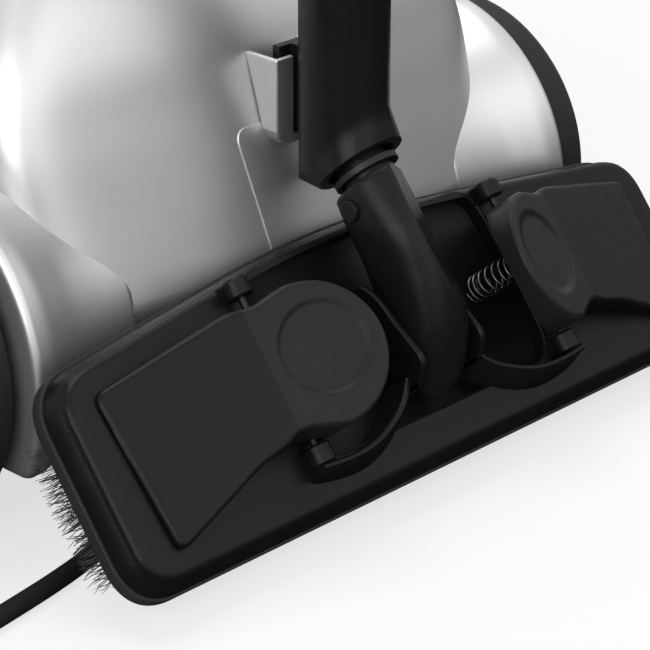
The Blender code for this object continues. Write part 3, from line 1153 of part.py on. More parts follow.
def build_bristles(name, path, count, lean, seed):
    """Strands in two rows along a path of (u, v) points; lean is how far their tips stand out."""
    chance = np.random.default_rng(seed)
    spots = [Vector((u, -v)) for u, v in path]
    lengths = [(b - a).length for a, b in zip(spots, spots[1:])]
    whole = sum(lengths)
    strip = slab(name, strip_outline([tuple(s) for s in spots], 2 * STRIP_HALF),
                 STRIP_TOP_N - STRIP_THICK, STRIP_TOP_N)
    holder = add_piece(name, strip, HAIR, BRUSH)
    bm = bmesh.new()
    columns = count // 2
    for index in range(count):
        column, row = index // 2, index % 2
        travel = whole * (column + 0.5 + STRAND_STAGGER_SHARE * (row * 2 - 1)) / columns
        spot, run = spots[0], spots[1] - spots[0]
        for start, end, length in zip(spots, spots[1:], lengths):
            if travel <= length or end is spots[-1]:
                spot, run = start.lerp(end, travel / length), (end - start).normalized()
                break
            travel -= length
        across = Vector((-run.y, run.x))
        foot = spot + across * (ROW_OFFSET if row else -ROW_OFFSET)
        tip = foot + Vector(lean) + Vector((chance.uniform(-1, 1), chance.uniform(-1, 1))) * BRISTLE_SPLAY
        tip_n = BRISTLE_TIP_N + float(chance.uniform(0.0, 1.0)) * BRISTLE_SPLAY * 2
        root_n = STRIP_TOP_N - STRIP_THICK / 2
        rings = []
        for place, n, radius in ((foot, root_n, BRISTLE_RADIUS),
                                 (tip, tip_n, BRISTLE_RADIUS * BRISTLE_TIP_SHARE)):
            rings.append([bm.verts.new((place.x + radius * math.cos(a), place.y + radius * math.sin(a), n))
                          for a in (0.3, 0.3 + 2 * math.pi / 3, 0.3 + 4 * math.pi / 3)])
        low, high = rings
        for i in range(3):
            j = (i + 1) % 3
            bm.faces.new((low[i], low[j], high[j], high[i]))
        bm.faces.new(low)
        bm.faces.new(high)
    fuse(holder, mesh_from(bm, name + "_strands", soft=False), BRUSH)


def build_all_bristles():
    front, rear = FRONT_STRIP_HALF_LENGTH, REAR_STRIP_HALF_LENGTH
    slope = BRUSH_REAR_DROP / (BRUSH_LENGTH / 2)
    peak = -BRUSH_REAR + REAR_STRIP_INSET
    build_bristles("bristles_front", [(-front, FRONT_STRIP_V), (front, FRONT_STRIP_V)], 100, (0.0, 0.0), 11)
    build_bristles("bristles_rear", [(-rear, peak + slope * rear), (0.0, peak),
                                     (rear, peak + slope * rear)], 100, (0.0, 0.0), 12)
    build_bristles("bristles_left", [(-END_STRIP_U, END_STRIP_V[0]), (-END_STRIP_U, END_STRIP_V[1])], 52,
                   (-END_SPLAY, 0.0), 13)
    build_bristles("bristles_right", [(END_STRIP_U, END_STRIP_V[0]), (END_STRIP_U, END_STRIP_V[1])], 52,
                   (END_SPLAY, 0.0), 14)


# The mains cord: outlet, strain relief, free stretch, coil, tie and plug
OUTLET_X = (-0.0120, 0.0140)
OUTLET_BEHIND_BRUSH = 0.0260
OUTLET_Z = (0.0140, 0.0400)
OUTLET_CORNER = 0.003
CORD_EXIT_Z = 0.0270
CORD_EXIT_BEHIND_BRUSH = 0.0360
RELIEF_LENGTH = 0.0300
RELIEF_ROOT = 0.0075
RELIEF_TIP = 0.0046
CORD_EXIT_X = OUTLET_X[0] - GAP - RELIEF_LENGTH
# The free stretch, from the strain relief to the coil: across, behind the brush's middle, over the floor
CORD_ROUTE = [(-0.0426, 0.0360, 0.0270), (-0.0500, 0.0360, 0.0270), (-0.0560, 0.0359, 0.0260),
              (-0.0635, 0.0353, 0.0226), (-0.0720, 0.0341, 0.0180), (-0.0820, 0.0322, 0.0130),
              (-0.0920, 0.0298, 0.0087), (-0.1020, 0.0272, 0.0056), (-0.1120, 0.0245, 0.0041),
              (-0.1230, 0.0210, 0.0037), (-0.1350, 0.0172, 0.0037), (-0.1500, 0.0138, 0.0037),
              (-0.1660, 0.0110, 0.0037), (-0.1830, 0.0082, 0.0038), (-0.2000, 0.0048, 0.0043),
              (-0.2150, 0.0018, 0.0050), (-0.2270, 0.0004, 0.0053), (-0.2340, 0.0000, 0.0053),
              (-0.2377, 0.0000, 0.0053)]
CORD_STEP = 0.0085
COIL_START_X = -0.2380
COIL_MEAN_RADIUS = 0.0420
COIL_PITCH = 0.0077
COIL_LAYERS = 4
COIL_LAYER_TURNS = 3
COIL_STEPS = 24
COIL_BASE_Z = 0.0053
TAIL_LENGTH = 0.0340
PLUG_Z = 0.0190
PLUG_LENGTH = 0.0420
PLUG_RADIUS = 0.0185
PLUG_NECK = 0.0060
PIN_LENGTH = 0.0190
PLUG_PIN_RADIUS = 0.0024
PLUG_PIN_SPREAD = 0.0095
TIE_WIDTH = 0.0080
TIE_THICK = 0.0012


def smooth_route(points, spacing):
    """Reads points at even steps from a smooth curve through the route's own points."""
    spots = [Vector(p) for p in points]
    dense = []
    for i in range(len(spots) - 1):
        a, b, c, d = spots[max(i - 1, 0)], spots[i], spots[i + 1], spots[min(i + 2, len(spots) - 1)]
        for step in range(8):
            t = step / 8
            dense.append(0.5 * (2 * b + (c - a) * t + (2 * a - 5 * b + 4 * c - d) * t * t
                                + (3 * b - a - 3 * c + d) * t ** 3))
    dense.append(spots[-1])
    whole = sum((q - p).length for p, q in zip(dense, dense[1:]))
    count = max(2, round(whole / spacing))
    even, travelled, index = [dense[0]], 0.0, 0
    for step in range(1, count):
        target = whole * step / count
        while travelled + (dense[index + 1] - dense[index]).length < target:
            travelled += (dense[index + 1] - dense[index]).length
            index += 1
        even.append(dense[index].lerp(dense[index + 1],
                                      (target - travelled) / (dense[index + 1] - dense[index]).length))
    return even + [dense[-1]]


def coil_points():
    """Piled loops: each layer spirals in or out, and climbs a layer round each reversal."""
    whole = COIL_LAYERS * COIL_LAYER_TURNS
    outer = COIL_MEAN_RADIUS + COIL_PITCH * COIL_LAYER_TURNS / 2
    centre = Vector((COIL_START_X - CORD_DIAMETER, PLATE_Y + outer))
    points = [Vector((COIL_START_X, PLATE_Y, COIL_BASE_Z))]
    count = int(whole * COIL_STEPS)
    for step in range(count + 1):
        turn = step / COIL_STEPS
        place = turn / COIL_LAYER_TURNS
        layer = min(int(place), COIL_LAYERS - 1)
        within = (place - layer) * COIL_LAYER_TURNS
        inward = within if layer % 2 == 0 else COIL_LAYER_TURNS - within
        radius = outer - COIL_PITCH * inward
        climb = layer
        if layer > 0 and within < 0.25:
            climb = layer - 0.5 + within * 2
        elif layer < COIL_LAYERS - 1 and COIL_LAYER_TURNS - within < 0.25:
            climb = layer + 0.5 - (COIL_LAYER_TURNS - within) * 2
        angle = -math.pi / 2 - 2 * math.pi * turn
        points.append(Vector((centre.x + radius * math.cos(angle), centre.y + radius * math.sin(angle),
                              COIL_BASE_Z + COIL_PITCH * climb)))
    return points, centre, outer


def least_gap(points, wire_radius, skip):
    places = np.array([tuple(p) for p in points])
    least = 1e9
    for i in range(len(places) - skip):
        away = np.linalg.norm(places[i + skip:] - places[i], axis=1)
        least = min(least, float(away.min()))
    return least - 2 * wire_radius


def build_cord():
    outlet_y = PLATE_Y + OUTLET_BEHIND_BRUSH
    depth = BASE_FRONT_BEHIND_BRUSH - OUTLET_BEHIND_BRUSH + OVERRUN
    size = (OUTLET_X[1] - OUTLET_X[0], depth, OUTLET_Z[1] - OUTLET_Z[0])
    centre = ((OUTLET_X[0] + OUTLET_X[1]) / 2, outlet_y + depth / 2, (OUTLET_Z[0] + OUTLET_Z[1]) / 2)
    outlet = add_piece("cord_outlet", block("cord_outlet", size, centre), CHARCOAL)
    cut(outlet, loft("outlet_fit", [base_ring(BASE_FOOT_Z - GAP, GAP), base_ring(BASE_TOP_Z, GAP)]))
    exit_y = PLATE_Y + CORD_EXIT_BEHIND_BRUSH
    relief_start = (OUTLET_X[0] - GAP, exit_y, CORD_EXIT_Z)
    relief_end = (CORD_EXIT_X, exit_y, CORD_EXIT_Z)
    add_piece("cord_relief", rod("cord_relief", RELIEF_ROOT, relief_start, relief_end, SMALL_ROUND,
                                 RELIEF_TIP), RUBBER)
    route = [(x, PLATE_Y + y, z) for x, y, z in CORD_ROUTE]
    add_piece("cord_tube", tube_along("cord_tube", smooth_route(route, CORD_STEP), CORD_RADIUS, 2), RUBBER)
    points, middle, outer = coil_points()
    print(f"coil, least gap between turns: {least_gap(points, CORD_RADIUS, COIL_STEPS // 2) * 1000:.2f} mm")
    last, before = points[-1], points[-2]
    run = (last - before)
    run.z = 0.0
    run.normalize()
    drop = last.z - PLUG_Z
    tail = []
    for step in range(1, 8):
        share = min(step / 6, 1.0)
        ease = share * share * (3 - 2 * share)
        spot = last + run * (TAIL_LENGTH * step / 6)
        spot.z = last.z - drop * ease
        tail.append(spot)
    whole = sum((b - a).length for a, b in zip(points + tail, (points + tail)[1:]))
    print(f"coil and tail: {whole:.3f} m of cord")
    add_piece("cord_coil", tube_along("cord_coil", points + tail, CORD_RADIUS, 1), RUBBER)
    end = tail[-1] + run * GAP
    turn = run.to_track_quat("Z", "Y").to_matrix().to_4x4()
    frame = Matrix.Translation(end) @ turn
    neck, body = PLUG_NECK, PLUG_RADIUS
    plug = turned("plug", [(0.0, PLUG_LENGTH), (body, PLUG_LENGTH), (body, PLUG_LENGTH / 2),
                           (body * 0.7, PLUG_LENGTH / 3), (neck, PLUG_LENGTH / 5), (neck, 0.0), (0.0, 0.0)],
                  RUBBER, frame, 16)
    for side in (-1, 1):
        across = Vector((side * PLUG_PIN_SPREAD, 0.0, 0.0))
        fuse(plug, rod(f"plug_pin_{side}", PLUG_PIN_RADIUS,
                       across + Vector((0.0, 0.0, PLUG_LENGTH - OVERRUN)),
                       across + Vector((0.0, 0.0, PLUG_LENGTH + PIN_LENGTH)), 8), frame)
    low = COIL_BASE_Z - CORD_RADIUS - GAP
    high = COIL_BASE_Z + COIL_PITCH * (COIL_LAYERS - 1) + CORD_RADIUS + GAP
    inner = outer - COIL_PITCH * COIL_LAYER_TURNS - CORD_RADIUS - GAP
    far = outer + CORD_RADIUS + GAP
    tie_x = (middle.x + inner + middle.x + far) / 2
    size = (far - inner + 2 * TIE_THICK, TIE_WIDTH, high - low + 2 * TIE_THICK)
    tie = add_piece("cord_tie", block("cord_tie", size, (tie_x, middle.y, (low + high) / 2)), RUBBER)
    cut(tie, block("tie_hollow", (far - inner, TIE_WIDTH + 2 * OVERRUN, high - low),
                   (tie_x, middle.y, (low + high) / 2)))


build_hood()
build_pocket()
build_base()
build_fender("left_fender", -1)
build_fender("right_fender", 1)
build_wheel("left", -1)
build_wheel("right", 1)
build_axle()
build_caster()
build_deck()
build_handle()
build_filler()
build_controls()
build_inside()
build_socket()
build_wand()
build_neck()
build_brush()
build_pedal("left", -1)
build_pedal("right", 1)
build_all_bristles()
build_cord()
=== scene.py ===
import json
import math
from contextlib import contextmanager

import bmesh
import bpy
import numpy as np
from mathutils import Matrix, Vector

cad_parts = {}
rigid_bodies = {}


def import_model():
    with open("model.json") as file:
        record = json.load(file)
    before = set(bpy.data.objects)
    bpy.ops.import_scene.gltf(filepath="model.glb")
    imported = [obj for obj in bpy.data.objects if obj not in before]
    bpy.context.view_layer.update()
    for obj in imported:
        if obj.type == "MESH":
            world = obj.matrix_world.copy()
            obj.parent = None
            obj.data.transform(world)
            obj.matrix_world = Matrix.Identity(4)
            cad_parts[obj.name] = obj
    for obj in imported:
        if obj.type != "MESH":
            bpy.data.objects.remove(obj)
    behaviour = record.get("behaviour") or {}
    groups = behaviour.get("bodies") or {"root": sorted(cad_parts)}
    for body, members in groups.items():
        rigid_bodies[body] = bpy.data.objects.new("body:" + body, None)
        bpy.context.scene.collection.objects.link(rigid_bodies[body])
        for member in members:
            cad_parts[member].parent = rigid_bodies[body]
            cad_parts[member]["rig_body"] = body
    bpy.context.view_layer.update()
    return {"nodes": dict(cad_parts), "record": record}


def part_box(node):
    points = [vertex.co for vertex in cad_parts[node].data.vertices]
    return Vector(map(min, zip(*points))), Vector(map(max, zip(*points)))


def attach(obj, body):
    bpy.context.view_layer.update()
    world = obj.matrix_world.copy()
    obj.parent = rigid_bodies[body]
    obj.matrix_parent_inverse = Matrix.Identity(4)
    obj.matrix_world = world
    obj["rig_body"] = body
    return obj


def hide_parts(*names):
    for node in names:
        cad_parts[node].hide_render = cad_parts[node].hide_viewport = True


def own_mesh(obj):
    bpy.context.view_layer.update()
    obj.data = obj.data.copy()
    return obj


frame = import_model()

print("steam cleaner: frame loaded,", len(frame["nodes"]), "nodes")
slotOf = {row["node"]: row["material_slot"] for row in frame["record"]["subparts"]}

# The parked floor brush leans against the hood: its own frame is used by many pieces
brushPlace = {"y": -0.181, "z": 0.068, "lean": math.radians(51.5)}
leanCos, leanSin = math.cos(brushPlace["lean"]), math.sin(brushPlace["lean"])


def onBrush(u, v, n):
    # u runs along the brush, v down its slope and n out of its face
    u, v, n = np.broadcast_arrays(np.asarray(u, float), v, n)
    return np.stack([u, brushPlace["y"] - v * leanCos - n * leanSin,
                     brushPlace["z"] - v * leanSin + n * leanCos], axis=-1)


def show(name, data):
    obj = bpy.data.objects.new(name, data)
    bpy.context.scene.collection.objects.link(obj)
    return obj


# Camera
cameraSet = {"place": (-0.6572, -0.7852, 0.4496), "back": (-0.658, -0.636, 0.404),
             "right": (0.695, -0.719, 0.0), "lens": 148.65}


def makeCamera(values):
    data = bpy.data.cameras.new("photoCamera")
    data.lens, data.sensor_width = values["lens"], 36
    data.clip_start, data.clip_end = 0.05, 20
    camera = show("photoCamera", data)
    back, right = Vector(values["back"]).normalized(), Vector(values["right"]).normalized()
    up = back.cross(right).normalized()
    turn = Matrix((up.cross(back), up, back)).transposed().to_4x4()
    camera.matrix_world = Matrix.Translation(values["place"]) @ turn
    bpy.context.scene.camera = camera


makeCamera(cameraSet)


# Shader maths on sockets
class Signal:
    def __init__(self, nodes, socket):
        self.nodes, self.socket = nodes, socket

    def combine(self, operation, left, right):
        return self.nodes.add("Math", {"operation": operation}, {0: left, 1: right})

    def __add__(self, other):
        return self.combine("ADD", self, other)

    def __radd__(self, other):
        return self.combine("ADD", other, self)

    def __sub__(self, other):
        return self.combine("SUBTRACT", self, other)

    def __mul__(self, other):
        return self.combine("MULTIPLY", self, other)

    def __pow__(self, other):
        return self.combine("POWER", self, other)


class Nodes:
    """A node tree: each node added takes plain values and the outputs of earlier nodes."""

    def __init__(self, tree):
        self.tree = tree

    def add(self, kind, settings, inputs, output=0):
        node = self.tree.nodes.new("ShaderNode" + kind)
        for key, value in settings.items():
            setattr(node, key, value)
        for key, value in inputs.items():
            if isinstance(value, Signal):
                self.tree.links.new(value.socket, node.inputs[key])
            else:
                node.inputs[key].default_value = value
        return Signal(self, node.outputs[output])

    def rays(self, kind):
        return self.add("LightPath", {}, {}, f"Is {kind} Ray")


class Finish(Nodes):
    """One procedural material: a Principled shader and the nodes that feed it."""

    def __init__(self, name, **constants):
        self.material = bpy.data.materials.new(name)
        self.material.use_nodes = True
        super().__init__(self.material.node_tree)
        self.shader = self.tree.nodes["Principled BSDF"]
        for socket, value in constants.items():
            self.shader.inputs[socket.replace("_", " ")].default_value = value
        self.place = self.add("TexCoord", {}, {}, "Object")

    def feed(self, socket, value):
        self.tree.links.new(value.socket, self.shader.inputs[socket])

    def noise(self, size, detail=2.0, stretch=(1, 1, 1), rough=0.5):
        # size is the length of one blotch, in metres
        where = self.add("Mapping", {}, {"Vector": self.place, "Scale": stretch})
        return self.add("TexNoise", {}, {"Vector": where, "Scale": 1 / size, "Detail": detail,
                                                   "Roughness": rough})

    def grains(self, size):
        return self.add("TexVoronoi", {}, {"Vector": self.place, "Scale": 1 / size})

    def blend(self, factor, low, high):
        low, high = (colour if isinstance(colour, Signal) else (*colour, 1) for colour in (low, high))
        return self.add("Mix", {"data_type": "RGBA"}, {"Factor": factor, 6: low, 7: high}, 2)

    def made(self, colour, rough, height=None, depth=0.0, strength=1.0):
        self.feed("Base Color", colour)
        self.feed("Roughness", rough)
        if height:
            self.feed("Normal", self.add("Bump", {}, {"Height": height, "Distance": depth,
                                                                "Strength": strength}))
        return self.material


def lacquer(name, low, high, rough):
    # metallic lacquer: fine flakes in the colour, broad cloudiness in the gloss, a faint orange peel
    finish = Finish(name, Metallic=0.86, Coat_Weight=0.05, Coat_Roughness=0.30)
    flake, cloud = finish.noise(0.00045, 3), finish.noise(0.045, 3)
    return finish.made(finish.blend(flake * 0.75 + cloud * 0.25, low, high),
                       rough - 0.05 + flake * 0.05 + cloud * 0.06, flake, 0.00003, 0.5)


def moulding(name, low, high, rough, grain, depth, lobe=None, crease=None, seam=0.0003):
    # moulded plastic: spark-eroded grain, handling marks that polish it, dust in the low spots, and on pedals a
    # painted highlight on the lobe
    finish = Finish(name, Specular_IOR_Level=0.13)
    fine, cloud = finish.noise(grain, 4, rough=0.6), finish.noise(0.03, 4)
    marks = finish.noise(0.0035, 5, (1.0, 0.25, 1.0), 0.65) ** 3.0
    wear = cloud * 0.6 + fine * 0.3 + marks * 0.35
    colour = finish.blend(wear, low, high)
    if lobe:
        # painted highlight: a pedal's lobe, which faces the light more, is painted greyer than the wing past the
        # crease
        across = finish.add("SeparateXYZ", {}, {0: finish.place}, "X")
        outwards = finish.add("Math", {"operation": "ABSOLUTE"}, {0: across})
        wingOutsideHighlight = finish.add("MapRange", {}, {"Value": outwards, "From Min": crease - seam,
                                                       "From Max": crease + seam})
        colour = finish.blend(wingOutsideHighlight, finish.blend(wear, *lobe), colour)
    return finish.made(colour, rough + cloud * 0.10 - marks * 0.25, fine, depth)


def rubbery(name):
    finish = Finish(name, Specular_IOR_Level=0.15)
    fine, bloom = finish.noise(0.0006, 3), finish.noise(0.012, 4)
    return finish.made(finish.blend(bloom, (0.006, 0.006, 0.006), (0.016, 0.016, 0.016)), 0.52 + bloom * 0.2,
                       fine, 0.00004, 0.5)


def metal(name, low, high, rough, stretch):
    # drawn or turned metal: long scratches along one direction and a little tarnish
    finish = Finish(name, Metallic=1.0)
    lines, tarnish = finish.noise(0.0012, 3, stretch), finish.noise(0.009, 4)
    return finish.made(finish.blend(tarnish * 0.7 + lines * 0.3, low, high), rough + lines * 0.12 + tarnish * 0.08,
                       lines, 0.00002, 0.6)


def circuit(name):
    finish = Finish(name, Specular_IOR_Level=0.6)
    tracks, weave = finish.grains(0.004), finish.noise(0.0008, 2)
    return finish.made(finish.blend(tracks * 1.4, (0.012, 0.085, 0.035), (0.03, 0.17, 0.07)), 0.35 + weave * 0.2,
                       tracks, 0.0001, 0.6)


def lens(name, low, high):
    finish = Finish(name, Coat_Weight=0.6, Coat_Roughness=0.05)
    prisms = finish.grains(0.0012)
    return finish.made(finish.blend(prisms, low, high), 0.12 + prisms * 0.15, prisms, 0.0002, 0.5)


def hair(name):
    finish = Finish(name, Specular_IOR_Level=0.35)
    strand = finish.noise(0.0016, 2)
    return finish.made(finish.blend(strand, (0.006, 0.006, 0.006), (0.035, 0.034, 0.033)), 0.45 + strand * 0.25)


finishes = {
    "silver": lacquer("silverLacquer", (0.45, 0.45, 0.46), (0.57, 0.57, 0.58), 0.40),
    "black": moulding("blackMoulding", (0.0028, 0.0028, 0.003), (0.0105, 0.0105, 0.0109), 0.30, 0.0009, 0.00007),
    "plate": moulding("brushMoulding", (0.0024, 0.0024, 0.0026), (0.009, 0.009, 0.0094), 0.34, 0.001, 0.0001),
    # pedals: the lobe colours are a painted highlight, lighter than the wing as if lit from the left
    "tread": moulding("pedalMoulding", (0.002, 0.002, 0.0022), (0.0075, 0.0075, 0.0078), 0.34, 0.0009, 0.00008,
                      lobe=[(0.0068, 0.0068, 0.0071), (0.016, 0.016, 0.0165)], crease=0.079),
    "charcoal": moulding("charcoalMoulding", (0.013, 0.013, 0.014), (0.03, 0.03, 0.032), 0.46, 0.0012, 0.0002),
    "tyre": moulding("wheelMoulding", (0.012, 0.012, 0.013), (0.028, 0.028, 0.029), 0.48, 0.0014, 0.00022),
    "rubber": rubbery("mattRubber"),
    "steel": metal("brightSteel", (0.42, 0.42, 0.43), (0.66, 0.66, 0.67), 0.20, (1.0, 0.08, 1.0)),
    "darkSteel": metal("darkSteel", (0.018, 0.018, 0.018), (0.045, 0.045, 0.045), 0.38, (1.0, 0.08, 1.0)),
    "spring": metal("springSteel", (0.07, 0.07, 0.07), (0.17, 0.17, 0.17), 0.28, (1.0, 1.0, 1.0)),
    "brass": metal("turnedBrass", (0.55, 0.38, 0.14), (0.76, 0.57, 0.26), 0.22, (1.0, 1.0, 6.0)),
    "copper": metal("drawnCopper", (0.55, 0.24, 0.14), (0.80, 0.40, 0.25), 0.24, (1.0, 0.1, 1.0)),
    "board": circuit("coatedBoard"),
    "hair": hair("nylonHair"),
    "green": lens("greenLens", (0.02, 0.28, 0.06), (0.08, 0.62, 0.16)),
    "amber": lens("amberLens", (0.55, 0.20, 0.01), (0.92, 0.46, 0.06)),
}
print("finishes made:", len(finishes))


# Surfaces
tolerance = {"twin": 0.000001, "cadTwin": 0.000005, "pedalTwin": 0.000002, "crease": 0.000003}
madeNodes = set()


def keepPiece(name, data, nodes, finish=None):
    """Puts a made piece on its node's body, hides the CAD solids it stands for and gives it its finish."""
    nodes = [nodes] if isinstance(nodes, str) else nodes
    obj = show(name, data)
    data.materials.clear()
    data.materials.append(finishes[finish or slotOf[nodes[0]]])
    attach(obj, frame["nodes"][nodes[0]]["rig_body"])
    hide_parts(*nodes)
    madeNodes.update(nodes)
    return obj


def unit(rows):
    return rows / np.linalg.norm(rows, axis=1, keepdims=True)


def fullTurn(steps):
    return np.linspace(0, 2 * np.pi, steps, endpoint=False)


def eased(share):
    return share ** 2 * (3 - 2 * share)


def readOff(spots, travelled, points):
    return np.stack([np.interp(spots, travelled, points[:, axis]) for axis in (0, 1)], axis=-1)


def sheetMesh(name, grid, around=True, along=False, caps=(False, False), flip=False):
    """A mesh from a grid of points, rows by columns; around joins the last column to the first."""
    rows, columns = grid.shape[:2]
    index = np.arange(rows * columns).reshape(rows, columns)
    across = np.concatenate([index, index[:, :1]], axis=1) if around else index
    both = np.concatenate([across, across[:1]], axis=0) if along else across
    quads = np.stack([both[:-1, :-1], both[:-1, 1:], both[1:, 1:], both[1:, :-1]], axis=-1).reshape(-1, 4)
    faces = quads[:, ::-1].tolist() if flip else quads.tolist()
    if caps[0]:
        faces.append(index[0][::-1].tolist())
    if caps[1]:
        faces.append(index[-1].tolist())
    mesh = bpy.data.meshes.new(name)
    mesh.from_pydata(grid.reshape(-1, 3).tolist(), [], faces)
    mesh.validate()
    mesh.update()
    return mesh


@contextmanager
def opened(mesh):
    bm = bmesh.new()
    bm.from_mesh(mesh)
    yield bm
    bm.to_mesh(mesh)
    bm.free()


def outward(mesh):
    with opened(mesh) as bm:
        bmesh.ops.remove_doubles(bm, verts=bm.verts, dist=tolerance["twin"])
        bmesh.ops.recalc_face_normals(bm, faces=bm.faces)
    return mesh


def soften(mesh, degrees=35):
    mesh.shade_smooth()
    mesh.set_sharp_from_angle(angle=math.radians(degrees))
    return mesh


def smoothTrack(points, perSpan):
    """A curve through the points: on each span the cubic whose ends lean as the neighbours do."""
    knots = np.asarray(points, float)
    padded = np.concatenate([knots[:1], knots, knots[-1:]])
    a, b, c, d = (padded[first:first + len(knots) - 1, None, :] for first in range(4))
    t = (np.arange(perSpan) / perSpan)[None, :, None]
    spans = 0.5 * (2 * b + (c - a) * t + (2 * a - 5 * b + 4 * c - d) * t ** 2 + (3 * b - a - 3 * c + d) * t ** 3)
    return np.concatenate([spans.reshape(-1, knots.shape[1]), knots[-1:]], axis=0)


def hose(track, radius, sides, up):
    """A tube round a track: at each point a circle square to the track, turned so that it starts at up."""
    ahead = unit(np.gradient(track, axis=0))
    up = np.asarray(up, float)
    first = unit(up - (ahead @ up)[:, None] * ahead)
    second = np.cross(ahead, first)
    angle = fullTurn(sides)[None, :, None]
    radius = np.broadcast_to(radius, len(track))[:, None, None]
    return track[:, None, :] + radius * (np.cos(angle) * first[:, None, :] + np.sin(angle) * second[:, None, :])


def giveWall(obj, thickness):
    wall = obj.modifiers.new("wall", "SOLIDIFY")
    wall.thickness, wall.offset = thickness, -1


def newPiece(name, mesh, nodes, finish, degrees, crease=None, turned=True):
    """A piece from a mesh whose faces are turned outwards, unless they already face the right way."""
    mesh = soften(outward(mesh) if turned else mesh, degrees)
    for edge in mesh.edges if crease else []:                   # edges on this X stay sharp
        if all(abs(mesh.vertices[end].co.x - crease) < tolerance["crease"] for end in edge.vertices):
            edge.use_edge_sharp = True
    return keepPiece(name, mesh, nodes, finish)


# The mains cord: free stretch from the strain relief, then the stored coil and its tail
cordSet = {"radius": 0.0035, "startX": -0.238, "meanRadius": 0.042, "pitch": 0.0077, "layers": 4, "turns": 3,
           "steps": 36, "baseZ": 0.0053, "tail": 0.034, "plugZ": 0.019}
cordRoute = [
    (-0.0426, 0.036, 0.027), (-0.05, 0.036, 0.027), (-0.056, 0.0359, 0.026), (-0.0635, 0.0353, 0.0226),
    (-0.072, 0.0341, 0.018), (-0.082, 0.0322, 0.013), (-0.092, 0.0298, 0.0087), (-0.102, 0.0272, 0.0056),
    (-0.112, 0.0245, 0.0041), (-0.123, 0.021, 0.0037), (-0.135, 0.0172, 0.0037), (-0.15, 0.0138, 0.0037),
    (-0.166, 0.011, 0.0037), (-0.183, 0.0082, 0.0038), (-0.20, 0.0048, 0.0043), (-0.215, 0.0018, 0.005),
    (-0.227, 0.0004, 0.0053), (-0.234, 0.00, 0.0053), (-0.2377, 0.00, 0.0053)]


def cordTrack(values):
    # piled loops: the radius falls or grows evenly within a layer, and the height climbs a layer at each reversal
    route = smoothTrack(np.array(cordRoute) + (0.0, brushPlace["y"], 0.0), 4)
    turns, layers, pitch = values["turns"], values["layers"], values["pitch"]
    outer = values["meanRadius"] + pitch * turns / 2
    turn = np.arange(int(turns * layers * values["steps"]) + 1) / values["steps"]
    layer = np.minimum((turn / turns).astype(int), layers - 1)
    within = turn - layer * turns
    inward = np.where(layer % 2 == 0, within, turns - within)
    radius = outer - pitch * inward
    ramp = 0.25                                                 # turns on either side of a reversal
    climb = np.where((layer > 0) & (within < ramp), layer - 0.5 + within * 2, layer.astype(float))
    climb = np.where((layer < layers - 1) & (turns - within < ramp), layer + 0.5 - (turns - within) * 2, climb)
    angle = -np.pi / 2 - 2 * np.pi * turn
    centre = np.array([values["startX"] - 2 * values["radius"], brushPlace["y"] + outer])
    coil = np.stack([centre[0] + radius * np.cos(angle), centre[1] + radius * np.sin(angle),
                     values["baseZ"] + pitch * climb], axis=-1)
    run = coil[-1] - coil[-2]
    run[2] = 0.0
    run /= np.linalg.norm(run)
    share = np.arange(1, 15) / 12
    ease = eased(np.minimum(share, 1.0))
    tail = coil[-1] + run * (values["tail"] * share)[:, None]
    tail[:, 2] = coil[-1, 2] - (coil[-1, 2] - values["plugZ"]) * ease
    return np.concatenate([route, coil, tail]), tail[-1], run


def makeCord(values):
    track, end, run = cordTrack(values)
    curve = bpy.data.curves.new("mainsCord", "CURVE")
    curve.dimensions = "3D"
    spline = curve.splines.new("POLY")
    spline.points.add(len(track) - 1)
    spline.points.foreach_set("co", np.concatenate([track, np.ones((len(track), 1))], axis=1).ravel())
    curve.bevel_depth, curve.bevel_resolution, curve.use_fill_caps = values["radius"], 4, True
    spline.use_smooth = True
    cord = keepPiece("mainsCord", curve, ["cord_tube", "cord_coil"], "rubber")
    length = float(np.linalg.norm(np.diff(track, axis=0), axis=1).sum())
    return cord, track, length


mainsCord, mainsTrack, mainsLength = makeCord(cordSet)
print(f"mains cord: {mainsLength:.3f} m")


# CAD pieces that keep their form get rounded edges and smooth curves on a copy
edgeWidths = {"base_tray": 0.0012, "top_deck": 0.001, "carry_handle": 0.0016, "left_hubcap": 0.0008,
              "right_hubcap": 0.0008, "park_pocket": 0.0007, "caster_fork": 0.0008, "wand_hook": 0.0006,
              "plug": 0.0012, "control_board": 0.0002, "steam_dial": 0.0005, "boiler_tank": 0.0008,
              "flap_pin": 0.0002, "caster_pin": 0.0003, "heater_band": 0.0003, "filler_neck": 0.0003}
finishOf = {"swivel_ring": "darkSteel", "tilt_pin": "darkSteel", "left_pedal_pin": "darkSteel",
            "right_pedal_pin": "darkSteel", "caster_wheel": "tyre"}
skinSet = {"flat": math.radians(0.6), "smooth": 32, "edge": 0.0004}


def joinedUp(node):
    """A copy of a CAD solid's mesh, its flat faces joined; over the deck's gentle crown they stay apart."""
    mesh = frame["nodes"][node].data.copy()
    with opened(mesh) as bm:
        bmesh.ops.remove_doubles(bm, verts=bm.verts, dist=tolerance["cadTwin"])
        if node != "top_deck":
            bmesh.ops.dissolve_limit(bm, angle_limit=skinSet["flat"], verts=bm.verts, edges=bm.edges)
    return mesh


def refined(node, mesh):
    """A CAD solid's mesh with its edges rounded and its curves shaded smooth."""
    obj = keepPiece(node + "_skin", soften(mesh, skinSet["smooth"]), node, finishOf.get(node))
    rounded = obj.modifiers.new("rounded", "BEVEL")
    rounded.width = edgeWidths.get(node, skinSet["edge"])
    rounded.segments, rounded.limit_method, rounded.angle_limit = 2, "ANGLE", math.radians(skinSet["smooth"])
    rounded.use_clamp_overlap = True
    obj.modifiers.new("evened", "WEIGHTED_NORMAL").keep_sharp = True


# Springs under the pedals
springSet = {"u": 0.047, "v": 0.011, "radius": 0.005, "wire": 0.00055, "low": -0.0062, "high": 0.0232,
             "curls": 9, "closed": 0.8, "keep": 0.79}


